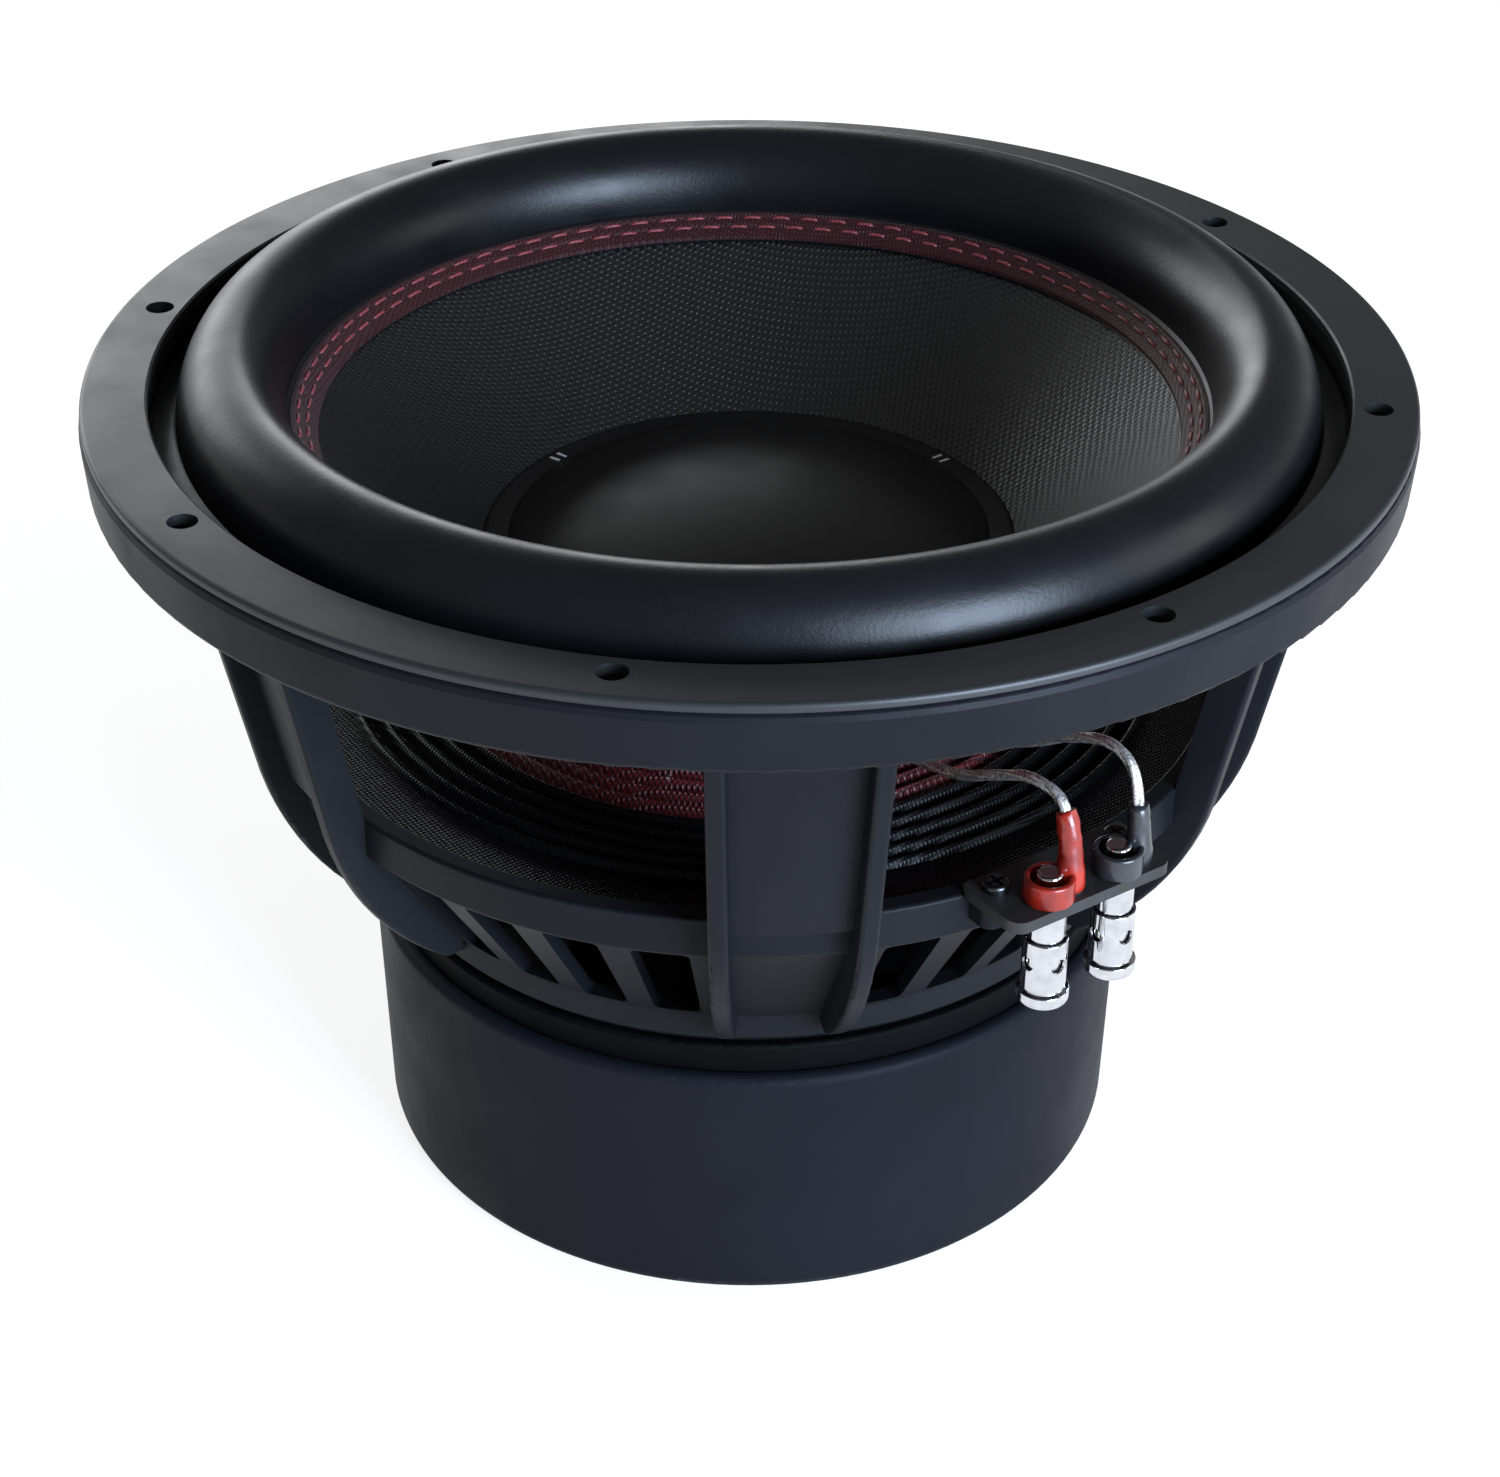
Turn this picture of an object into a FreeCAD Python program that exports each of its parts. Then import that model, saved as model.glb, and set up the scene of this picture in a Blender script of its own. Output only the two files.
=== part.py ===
"""Twelve-inch car subwoofer driver, standing on its magnet, modelled in millimetres.

The frame is +Z up along the cone's axis, with the origin at the centre of the magnet boot's underside.
A cast basket carries a rubber gasket on its flange, a tall roll surround and a corrugated spider.
The surround and the spider hold the cone, dust cap and voice coil, which slide along Z.
The motor below is a T-yoke, two ferrite rings and a top plate inside a rubber boot.
Push terminals hang in pairs from a plate at +X and at -X, and a lead runs from each pair to the coil.
"""

import FreeCAD, Part

import math
import os

from FreeCAD import Vector

# Driving dimensions
FLANGE_R = 160.0
FLANGE_TOP_Z = 212.0
FLANGE_UNDER_Z = 195.0
GASKET_T = 2.5
GASKET_INNER_R = 143.8
BOLT_CIRCLE_R = 149.8
BOLT_COUNT = 8
BOLT_HOLE_R = 3.5
POCKET_INNER_R = 147.0
LEG_COUNT = 6
LEG_RIB_T = 4.6
LEG_RIB_ANGLE = 7.35

# Surround and its seat in the basket
SEAT_Z = 202.5
SEAT_INNER_R = 135.0
SURROUND_T = 2.4
LIP_T = 1.5
ROLL_CENTRE_R = 124.7
ROLL_HALF_W = 12.9
ROLL_FOOT_Z = 204.0
ROLL_HEIGHT = 18.8

# Basket below the flange
RIB_TOP_R = 144.0
RIB_BEND_R, RIB_BEND_Z = 131.0, 130.0
RIB_MID_R, RIB_MID_Z = 121.3, 105.5
RIB_FOOT_R, RIB_FOOT_Z = 101.0, 82.5
RIB_DEPTH = 5.5
WALL_T = 4.5
RING_R = 122.0
RING_TOP_Z = 132.4
RING_UNDER_Z = 120.5
RING_INNER_R = 103.0
SPIDER_SEAT_R = 117.0
SPIDER_SEAT_Z = 128.4
BASE_R = 96.0
BASE_Z = 76.0
BASE_T = 5.0
BASE_INNER_R = 48.0
VENT_TOP_Z = 119.0
VENT_LOW_Z = 87.0
VENTS_PER_BAY = 4
VENT_PITCH = 10.5
VENT_HALF_ANGLE = 3.35

# Cone, coil and suspension
CONE_SLOPE = math.atan2(0.833, 1.0)
NECK_R, NECK_Z = 38.9, 141.8
CONE_EDGE_R = 112.0
CONE_T = 1.4
EDGE_BAND_W = 8.8
EDGE_BAND_T = 0.9
CAP_R = 66.4
CAP_BAND_W = 6.5
CAP_HEIGHT = 14.0
CAP_T = 1.2
FORMER_INNER_R = 37.6
FORMER_T = 0.6
FORMER_TOP_Z = 156.0
FORMER_LOW_Z = 54.0
WINDING_T = 1.6
WINDING_LOW_Z, WINDING_TOP_Z = 55.0, 85.0
SPIDER_T = 0.9
SPIDER_WAVES = 11
SPIDER_WAVE_H = 1.9
SPIDER_WAVE_OUTER_R = 103.0
SPIDER_WAVE_INNER_R = 46.0

# Motor
BOOT_R = 99.3
BOOT_TOP_Z = 68.5
BOOT_FLOOR_T = 3.0
BOOT_HOLE_R = 62.0
MAGNET_R = 95.0
MAGNET_INNER_R = 52.0
MAGNET_T = 24.5
YOKE_T = 12.0
PLATE_R = 95.5
PLATE_T = 12.0
PLATE_INNER_R = 40.9
POLE_R = 36.6
VENT_BORE_R = 14.0
BASE_SCREW_COUNT = 8
BASE_SCREW_CIRCLE_R = 72.0
BASE_SCREW_R = 3.0
BASE_SCREW_HEAD_R = 5.0

# Terminals: x runs outwards and y along the plate
TERMINAL_X = 133.0
TERMINAL_PITCH = 19.9
TERMINAL_PLATE_Z = 131.2
TERMINAL_PLATE_T = 3.0
TERMINAL_PLATE_W = 46.0
TERMINAL_PLATE_INNER_X = 118.2
TERMINAL_PLATE_OUTER_X = 138.0
TERMINAL_PLATE_SCREW_X = 123.6
TERMINAL_PLATE_SCREW_Y = 17.5
PLATE_SCREW_R = 1.55
BRACKET_T = 5.5
BRACKET_OUTER_X = 127.0
STUD_R = 3.0
STUD_TOP_Z = 141.2
POST_R = 4.35
POST_LOW_Z = 112.4
SLEEVE_R = 5.2
SLEEVE_TOP_Z = 123.9
SLEEVE_FLARE_R = 6.1
SLEEVE_FLARE_Z = 110.8
SLEEVE_LOW_Z = 106.5
SLEEVE_FLOOR_Z = 108.2
PUSH_TRAVEL = 3.6
WIRE_HOLE_R = 1.9
SLEEVE_HOLE_Z = 118.0
COLLAR_R = 5.9
COLLAR_BORE_R = 4.5
COLLAR_T = 6.0
LUG_T = 0.8
LUG_REACH = 6.0
LUG_HALF_W = 2.2
NUT_R = 4.2
NUT_T = 2.4

# Lead wires
LEAD_R = 1.4
SHRINK_R = 2.8
SHRINK_TOP_Z = {"positive": 154.0, "negative": 150.0}
LEAD_RISE = {"positive": 0.0, "negative": 3.0}
LEAD_END_R = 41.05
LEAD_RUN_SHARE = 0.45

RUN_CLEARANCE = 0.3
TOP_Z = Vector(0, 0, 1)
ORIGIN = Vector(0, 0, 0)
RADIAL_PLANE = (Vector(1, 0, 0), Vector(0, 0, 1))
FLAT_PLANE = (Vector(1, 0, 0), Vector(0, 1, 0))


def rounded_wire(corners, plane=RADIAL_PLANE):
    """A closed wire through (u, v) or (u, v, fillet) corners in a plane, each fillet a tangent arc."""
    across, up = plane
    points = [across * c[0] + up * c[1] for c in corners]
    fillets = [c[2] if len(c) > 2 else 0.0 for c in corners]
    count = len(points)
    entries, exits, arcs = [], [], []
    for i, point in enumerate(points):
        if fillets[i] <= 0:
            entries.append(point)
            exits.append(point)
            arcs.append(None)
            continue
        before = (points[i - 1] - point).normalize()
        after = (points[(i + 1) % count] - point).normalize()
        half = before.getAngle(after) / 2
        back = fillets[i] / math.tan(half)
        start, end = point + before * back, point + after * back
        inwards = (before + after).normalize()
        middle = point + inwards * (fillets[i] / math.sin(half) - fillets[i])
        entries.append(start)
        exits.append(end)
        arcs.append(Part.Arc(start, middle, end).toShape())
    edges = []
    for i in range(count):
        if arcs[i] is not None:
            edges.append(arcs[i])
        following = (i + 1) % count
        if (entries[following] - exits[i]).Length > 1e-6:
            edges.append(Part.LineSegment(exits[i], entries[following]).toShape())
    return Part.Wire(edges)


def turned(corners):
    """A solid of revolution about Z from (r, z) or (r, z, fillet) corners."""
    return Part.Face(rounded_wire(corners)).revolve(ORIGIN, TOP_Z, 360)


def turned_wire(edges):
    """A solid of revolution about Z from edges that already close in the XZ plane."""
    return Part.Face(Part.Wire(Part.__sortEdges__(edges))).revolve(ORIGIN, TOP_Z, 360)


def ring(inner_r, outer_r, low_z, high_z, fillet=0.0):
    corners = [(inner_r, low_z, fillet), (outer_r, low_z, fillet)]
    corners += [(outer_r, high_z, fillet), (inner_r, high_z, fillet)]
    return turned(corners)


def disc(radius, low_z, high_z, x=0.0, y=0.0):
    return Part.makeCylinder(radius, high_z - low_z, Vector(x, y, low_z))


def turned_at(corners, x, y):
    """A solid of revolution about the vertical line through (x, y)."""
    solid = turned(corners)
    solid.translate(Vector(x, y, 0))
    return solid


def hexagon(corner_r, x, y, low_z, height):
    """An upright hexagonal bar."""
    angles = [math.pi * k / 3 for k in range(7)]
    corners = [Vector(x + corner_r * math.cos(a), y + corner_r * math.sin(a), low_z) for a in angles]
    return Part.Face(Part.makePolygon(corners)).extrude(Vector(0, 0, height))


def about_z(shape, degrees):
    turned_copy = shape.copy()
    turned_copy.rotate(ORIGIN, TOP_Z, degrees)
    return turned_copy


def circle_of(shape, count, first=0.0):
    return [about_z(shape, first + i * 360.0 / count) for i in range(count)]


def save(name, *shapes):
    """Writes one node's solids to parts/NAME.step."""
    solids = [solid for shape in shapes for solid in shape.Solids]
    whole = solids[0] if len(solids) == 1 else Part.makeCompound(solids)
    volume = sum(solid.Volume for solid in solids)
    if not whole.isValid() or volume <= 0:
        raise ValueError(name + " is not a valid solid")
    whole.exportStep("parts/" + name + ".step")


def bolt_holes(low_z, high_z):
    return circle_of(disc(BOLT_HOLE_R, low_z, high_z, BOLT_CIRCLE_R), BOLT_COUNT)


# ---- Basket ----


def flange():
    """The flange: a flat top under the gasket, a deep outer skirt and the recessed surround seat."""
    top_z = FLANGE_TOP_Z - GASKET_T
    recess_r = GASKET_INNER_R + 0.4
    skirt_t = 4.0
    deck_t = 6.0
    corners = [
        (SEAT_INNER_R, SEAT_Z, 0.8),
        (recess_r, SEAT_Z),
        (recess_r, top_z),
        (FLANGE_R - 0.6, top_z, 1.0),
        (FLANGE_R, top_z - 2.0),
        (FLANGE_R - 0.8, FLANGE_UNDER_Z, 1.5),
        (FLANGE_R - skirt_t, FLANGE_UNDER_Z, 0.8),
        (FLANGE_R - skirt_t, top_z - deck_t, 1.5),
        (POCKET_INNER_R, top_z - deck_t, 1.5),
        (POCKET_INNER_R, FLANGE_UNDER_Z, 0.8),
        (SEAT_INNER_R, FLANGE_UNDER_Z, 0.8),
    ]
    bosses = circle_of(disc(8.0, FLANGE_UNDER_Z, top_z - 1.0, BOLT_CIRCLE_R), BOLT_COUNT)
    web = Part.makeBox(12.0, 3.0, 11.0, Vector(POCKET_INNER_R - 1.5, -1.5, FLANGE_UNDER_Z + 0.5))
    webs = circle_of(web, 2 * BOLT_COUNT, 360.0 / (4 * BOLT_COUNT))
    inside = ring(recess_r + 0.5, FLANGE_R - 1.5, FLANGE_UNDER_Z - 1.0, top_z)
    kept = [boss.common(inside) for boss in bosses] + webs
    return turned(corners).fuse(kept)


def rib_outline_edges(inset=0.0):
    """The outer edge of a rib in the XZ plane: a straight run and one arc down to the foot."""
    top = Vector(RIB_TOP_R - inset, 0, FLANGE_UNDER_Z + 1.0)
    bend = Vector(RIB_BEND_R - inset, 0, RIB_BEND_Z)
    middle = Vector(RIB_MID_R - inset, 0, RIB_MID_Z)
    foot = Vector(RIB_FOOT_R - inset, 0, RIB_FOOT_Z)
    return top, bend, foot, [Part.LineSegment(top, bend).toShape(), Part.Arc(bend, middle, foot).toShape()]


def leg_rib():
    """One upright rib plate, with its two outer edges rounded."""
    top, bend, foot, outer = rib_outline_edges()
    inner_points = [
        foot,
        Vector(BASE_R - WALL_T + 0.5, 0, RIB_FOOT_Z),
        Vector(BASE_R - WALL_T + 0.5, 0, VENT_LOW_Z - 1.6),
        Vector(RING_R - WALL_T - 2.5, 0, RING_UNDER_Z + 0.5),
        Vector(RIB_BEND_R - RIB_DEPTH - WALL_T + 0.5, 0, RIB_BEND_Z),
        Vector(RIB_TOP_R - RIB_DEPTH - WALL_T + 0.5, 0, FLANGE_UNDER_Z + 1.0),
        top,
    ]
    inner = [Part.LineSegment(a, b).toShape() for a, b in zip(inner_points, inner_points[1:])]
    face = Part.Face(Part.Wire(Part.__sortEdges__(outer + inner)))
    face.translate(Vector(0, -LEG_RIB_T / 2, 0))
    plate = face.extrude(Vector(0, LEG_RIB_T, 0))

    def on_rim(edge):
        """An edge that runs down the rib's outer face."""
        middle = edge.valueAt((edge.FirstParameter + edge.LastParameter) / 2)
        along = edge.tangentAt((edge.FirstParameter + edge.LastParameter) / 2)
        return abs(along.y) < 0.1 and middle.x > rim_radius(middle.z) - 0.5

    return plate.makeFillet(1.1, [edge for edge in plate.Edges if on_rim(edge)])


def rim_radius(z):
    """About how far out the rib's rim is at a height."""
    if z >= RIB_BEND_Z:
        share = (z - RIB_BEND_Z) / (FLANGE_UNDER_Z + 1.0 - RIB_BEND_Z)
        return RIB_BEND_R + share * (RIB_TOP_R - RIB_BEND_R)
    share = (z - RIB_FOOT_Z) / (RIB_BEND_Z - RIB_FOOT_Z)
    return RIB_FOOT_R + share * (RIB_BEND_R - RIB_FOOT_R)


def leg_web():
    """The panel between a leg's two ribs, from the flange down to the spider ring."""
    low_z = RIB_BEND_Z + 0.6
    top_z = FLANGE_UNDER_Z + 1.0
    corners = [
        (RIB_BEND_R - RIB_DEPTH, low_z),
        (RIB_TOP_R - RIB_DEPTH, top_z),
        (RIB_TOP_R - RIB_DEPTH - WALL_T, top_z),
        (RIB_BEND_R - RIB_DEPTH - WALL_T, low_z),
    ]
    far = RIB_TOP_R * 1.2
    half = math.radians(LEG_RIB_ANGLE)
    spread = far * math.tan(half)
    triangle = [ORIGIN, Vector(far, -spread, 0), Vector(far, spread, 0), ORIGIN]
    wedge = Part.Face(Part.makePolygon(triangle)).extrude(Vector(0, 0, FLANGE_TOP_Z))
    return turned(corners).common(wedge)


def spider_ring():
    """The shelf that the spider is glued to, with a raised rim."""
    corners = [
        (RING_INNER_R, SPIDER_SEAT_Z, 0.8),
        (SPIDER_SEAT_R, SPIDER_SEAT_Z),
        (SPIDER_SEAT_R, RING_TOP_Z, 0.6),
        (RING_R, RING_TOP_Z, 1.0),
        (RING_R, RING_UNDER_Z + 1.5, 1.0),
        (RING_R - 3.0, RING_UNDER_Z - 0.5),
        (RING_R - 3.0 - WALL_T, RING_UNDER_Z - 0.5),
        (RING_INNER_R, RING_UNDER_Z + 3.5, 0.8),
    ]
    return turned(corners)


def vented_wall():
    """The sloping wall from the spider ring down to the base, with rounded vents in each bay."""
    corners = [
        (BASE_R, VENT_LOW_Z - 1.6),
        (RING_R - 3.0, RING_UNDER_Z),
        (RING_R - 3.0 - WALL_T, RING_UNDER_Z),
        (BASE_R - WALL_T, VENT_LOW_Z - 1.6),
    ]
    wall = turned(corners)
    top_half = math.sin(math.radians(VENT_HALF_ANGLE)) * (RING_R - 4.0)
    low_half = math.sin(math.radians(VENT_HALF_ANGLE)) * (BASE_R + 1.0)
    outline = [(-low_half, VENT_LOW_Z, 1.6), (low_half, VENT_LOW_Z, 1.6)]
    outline += [(top_half, VENT_TOP_Z, 1.6), (-top_half, VENT_TOP_Z, 1.6)]
    face = Part.Face(rounded_wire(outline, (Vector(0, 1, 0), Vector(0, 0, 1))))
    face.translate(Vector(BASE_R - 16.0, 0, 0))
    cutter = face.extrude(Vector(RING_R - BASE_R + 24.0, 0, 0))
    bay = 360.0 / LEG_COUNT
    spots = [(i - (VENTS_PER_BAY - 1) / 2) * VENT_PITCH for i in range(VENTS_PER_BAY)]
    return wall.cut([about_z(cutter, k * bay + spot) for k in range(LEG_COUNT) for spot in spots])


def base_ring():
    """The foot that stands on the top plate: a short wall and an inward flange for the screws."""
    corners = [
        (BASE_INNER_R, BASE_Z, 0.5),
        (BASE_R - 3.0, BASE_Z, 0.8),
        (BASE_R, BASE_Z + 3.0, 1.0),
        (BASE_R, VENT_LOW_Z - 1.5),
        (BASE_R - WALL_T, VENT_LOW_Z - 1.5),
        (BASE_R - WALL_T, BASE_Z + BASE_T, 2.0),
        (BASE_INNER_R, BASE_Z + BASE_T, 1.0),
    ]
    hole = disc(BASE_SCREW_R + 0.3, BASE_Z - 1.0, BASE_Z + BASE_T + 1.0, BASE_SCREW_CIRCLE_R)
    return turned(corners).cut(circle_of(hole, BASE_SCREW_COUNT, 22.5))


def terminal_brackets():
    """Cast shelves outside the spider ring, one under each terminal plate."""
    half_w = TERMINAL_PLATE_W / 2 - 1.0
    low_z = TERMINAL_PLATE_Z - BRACKET_T
    inner_x = SPIDER_SEAT_R + 0.3
    outline = [(inner_x, -half_w), (BRACKET_OUTER_X, -half_w, 3.0)]
    outline += [(BRACKET_OUTER_X, half_w, 3.0), (inner_x, half_w)]
    face = Part.Face(rounded_wire(outline, FLAT_PLANE))
    face.translate(Vector(0, 0, low_z))
    return circle_of(face.extrude(Vector(0, 0, BRACKET_T)), 2)


def terminal_cuts():
    """Notches in the spider ring's rim behind the terminal plates, and pilot holes for their screws."""
    notch_x = TERMINAL_PLATE_INNER_X - 0.4
    width = TERMINAL_PLATE_W + 1.0
    notch = Part.makeBox(30.0, width, 8.0, Vector(notch_x, -width / 2, TERMINAL_PLATE_Z))
    low_z = TERMINAL_PLATE_Z - BRACKET_T - 1.0
    holes = []
    for y in (-TERMINAL_PLATE_SCREW_Y, TERMINAL_PLATE_SCREW_Y):
        hole = disc(PLATE_SCREW_R + 0.05, low_z, TERMINAL_PLATE_Z + 1.0, TERMINAL_PLATE_SCREW_X, y)
        holes += circle_of(hole, 2)
    return circle_of(notch, 2) + holes


def basket():
    bay = 360.0 / LEG_COUNT
    rib = leg_rib()
    legs = []
    for k in range(LEG_COUNT):
        angle = bay / 2 + k * bay
        legs += [about_z(rib, angle - LEG_RIB_ANGLE), about_z(rib, angle + LEG_RIB_ANGLE)]
        legs.append(about_z(leg_web(), angle))
    body = flange().fuse([spider_ring(), vented_wall(), base_ring()] + legs + terminal_brackets())
    return body.cut(bolt_holes(FLANGE_UNDER_Z - 1.0, FLANGE_TOP_Z) + terminal_cuts()).removeSplitter()


def gasket():
    """The flat rubber ring on the flange, with a soft outer edge and a hole at each bolt."""
    top_z = FLANGE_TOP_Z
    low_z = top_z - GASKET_T
    corners = [
        (GASKET_INNER_R, low_z),
        (FLANGE_R - 0.5, low_z, 0.6),
        (FLANGE_R - 0.5, top_z, 1.2),
        (GASKET_INNER_R, top_z, 0.8),
    ]
    return turned(corners).cut(bolt_holes(low_z - 1.0, top_z + 1.0))


# ---- Suspension and cone ----


def along_cone(r, above=0.0):
    """The (r, z) point on the cone's upper face at a radius, moved off it along its normal."""
    z = NECK_Z + (r - NECK_R) * math.tan(CONE_SLOPE)
    return r - above * math.sin(CONE_SLOPE), z + above * math.cos(CONE_SLOPE)


def cone():
    corners = [
        along_cone(NECK_R, -CONE_T),
        along_cone(CONE_EDGE_R, -CONE_T),
        along_cone(CONE_EDGE_R),
        along_cone(NECK_R),
    ]
    shell = turned(corners)
    return shell.cut(disc(FORMER_INNER_R + FORMER_T, NECK_Z - 10.0, NECK_Z + 10.0))


def half_ellipse(half_width, height, count=13):
    """Points over a roll, from its outer foot to its inner one."""
    centre = Vector(ROLL_CENTRE_R, 0, ROLL_FOOT_Z)
    angles = [math.pi * i / (count - 1) for i in range(count)]
    return [centre + Vector(half_width * math.cos(a), 0, height * math.sin(a)) for a in angles]


def surround():
    """The tall half roll, with a flat lip outside and a sloping lip on the cone inside."""

    def curve(points):
        spline = Part.BSplineCurve()
        spline.interpolate(points, InitialTangent=TOP_Z, FinalTangent=Vector(0, 0, -1))
        return spline.toShape()

    over = half_ellipse(ROLL_HALF_W, ROLL_HEIGHT)
    under = half_ellipse(ROLL_HALF_W - SURROUND_T, ROLL_HEIGHT - SURROUND_T)
    lip_outer_r = GASKET_INNER_R - 0.3
    outer_lip = [
        under[0],
        Vector(under[0].x, 0, SEAT_Z),
        Vector(lip_outer_r, 0, SEAT_Z),
        Vector(lip_outer_r, 0, SEAT_Z + LIP_T),
        Vector(over[0].x, 0, SEAT_Z + LIP_T),
    ]
    if (over[0] - outer_lip[-1]).Length > 1e-6:
        outer_lip.append(over[0])
    band_low_r = CONE_EDGE_R - EDGE_BAND_W * math.cos(CONE_SLOPE)
    low_out = along_cone(CONE_EDGE_R, 0.0)
    low_in = along_cone(band_low_r, 0.0)
    top_in = along_cone(band_low_r, LIP_T - 0.5)
    top_out = along_cone(CONE_EDGE_R + 0.6, LIP_T - 0.5)
    inner_lip = [
        over[-1],
        Vector(top_out[0], 0, top_out[1]),
        Vector(top_in[0], 0, top_in[1]),
        Vector(low_in[0], 0, low_in[1]),
        Vector(low_out[0], 0, low_out[1]),
        under[-1],
    ]
    edges = [curve(over), curve(under)]
    for points in (outer_lip, inner_lip):
        edges += [Part.LineSegment(a, b).toShape() for a, b in zip(points, points[1:])]
    return turned_wire(edges)


def edge_band():
    """The stitched band that clamps the surround's inner lip to the cone."""
    low_r = CONE_EDGE_R - EDGE_BAND_W * math.cos(CONE_SLOPE) + 0.2
    low = LIP_T - 0.5
    corners = [
        along_cone(low_r, low),
        along_cone(CONE_EDGE_R - 0.3, low),
        along_cone(CONE_EDGE_R - 0.3, low + EDGE_BAND_T),
        along_cone(low_r, low + EDGE_BAND_T),
    ]
    return turned(corners)


def dust_cap():
    """A shallow spherical dome with a flat glued band round it."""
    band_z = along_cone(CAP_R)[1]
    edge_r = CAP_R - CAP_BAND_W
    edge_z = band_z + 0.6
    rise = CAP_HEIGHT - 0.6
    dome_r = (edge_r**2 + rise**2) / (2 * rise)
    centre_z = edge_z + rise - dome_r
    half_angle = math.asin(edge_r / dome_r)

    def on_dome(radius, angle):
        return Vector(radius * math.sin(angle), 0, centre_z + radius * math.cos(angle))

    def dome_arc(radius):
        return Part.Arc(*[on_dome(radius, share * half_angle) for share in (0, 0.5, 1)]).toShape()

    inner_r = dome_r - CAP_T
    glued_out = along_cone(CAP_R - 0.1)
    glued_in = along_cone(CAP_R - 1.6)
    rim = [
        on_dome(dome_r, half_angle),
        Vector(CAP_R - 0.4, 0, edge_z),
        Vector(glued_out[0], 0, glued_out[1]),
        Vector(glued_in[0], 0, glued_in[1]),
        on_dome(inner_r, half_angle),
    ]
    edges = [dome_arc(dome_r), dome_arc(inner_r)]
    edges += [Part.LineSegment(p, q).toShape() for p, q in zip(rim, rim[1:])]
    edges.append(Part.LineSegment(on_dome(inner_r, 0), on_dome(dome_r, 0)).toShape())
    return turned_wire(edges)


def spider():
    """The corrugated disc that centres the coil, flat at its seat and at its collar."""
    seat_z = SPIDER_SEAT_Z + SPIDER_T / 2
    pitch = (SPIDER_WAVE_OUTER_R - SPIDER_WAVE_INNER_R) / SPIDER_WAVES
    steps = 8 * SPIDER_WAVES
    line = [(SPIDER_SEAT_R - 0.3, seat_z), (SPIDER_WAVE_OUTER_R + 1.5, seat_z)]
    for i in range(steps + 1):
        r = SPIDER_WAVE_OUTER_R - i * pitch / 8
        line.append((r, seat_z + 0.1 + SPIDER_WAVE_H * math.sin(2 * math.pi * i / 8)))
    line.append((SPIDER_WAVE_INNER_R - 2.0, seat_z))
    line.append((FORMER_INNER_R + FORMER_T + 0.02, seat_z))
    above = [(r, z + SPIDER_T / 2) for r, z in line]
    below = [(r, z - SPIDER_T / 2) for r, z in reversed(line)]
    return turned(above + below)


def coil_former():
    return ring(FORMER_INNER_R, FORMER_INNER_R + FORMER_T, FORMER_LOW_Z, FORMER_TOP_Z)


def coil_winding():
    inner = FORMER_INNER_R + FORMER_T
    return ring(inner, inner + WINDING_T, WINDING_LOW_Z, WINDING_TOP_Z, 0.3)


# ---- Motor ----


def motor():
    """The T-yoke, two ferrite rings and top plate, from the boot's floor upwards."""
    yoke_z = BOOT_FLOOR_T
    lower_z = yoke_z + YOKE_T
    upper_z = lower_z + MAGNET_T
    plate_z = upper_z + MAGNET_T
    pole_top_z = plate_z + PLATE_T
    yoke = turned(
        [
            (VENT_BORE_R + 4.0, yoke_z, 2.0),
            (MAGNET_R, yoke_z, 2.5),
            (MAGNET_R, lower_z, 1.0),
            (POLE_R, lower_z, 2.0),
            (POLE_R, pole_top_z, 1.2),
            (VENT_BORE_R + 3.0, pole_top_z, 2.0),
            (VENT_BORE_R, pole_top_z - 6.0, 3.0),
            (VENT_BORE_R, yoke_z + 7.0, 3.0),
        ]
    )
    lower = ring(MAGNET_INNER_R, MAGNET_R, lower_z, upper_z, 1.0)
    upper = ring(MAGNET_INNER_R, MAGNET_R, upper_z, plate_z, 1.0)
    plate = ring(PLATE_INNER_R, PLATE_R, plate_z, pole_top_z, 1.0)
    hole = disc(BASE_SCREW_R + 0.05, pole_top_z - 9.0, pole_top_z + 1.0, BASE_SCREW_CIRCLE_R)
    return yoke, lower, upper, plate.cut(circle_of(hole, BASE_SCREW_COUNT, 22.5))


def boot():
    """The rubber cup over the motor, open underneath round the vent and turned in a little at the top."""
    inner_r = PLATE_R + 0.1
    corners = [
        (BOOT_HOLE_R, 0.0, 0.8),
        (BOOT_R - 1.2, 0.0, 3.0),
        (BOOT_R, BOOT_TOP_Z, 2.4),
        (inner_r, BOOT_TOP_Z, 0.5),
        (inner_r, BOOT_FLOOR_T),
        (BOOT_HOLE_R, BOOT_FLOOR_T, 0.8),
    ]
    return turned(corners)


def base_screws():
    """Socket screws through the basket's base into the top plate."""
    head_z = BASE_Z + BASE_T
    screw = disc(BASE_SCREW_R, head_z - 13.0, head_z, BASE_SCREW_CIRCLE_R)
    head = disc(BASE_SCREW_HEAD_R, head_z, head_z + 5.5, BASE_SCREW_CIRCLE_R)
    socket = hexagon(2.6, BASE_SCREW_CIRCLE_R, 0.0, head_z + 2.5, 4.0)
    return circle_of(screw.fuse(head).cut(socket).removeSplitter(), BASE_SCREW_COUNT, 22.5)


# ---- Terminals ----


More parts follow.
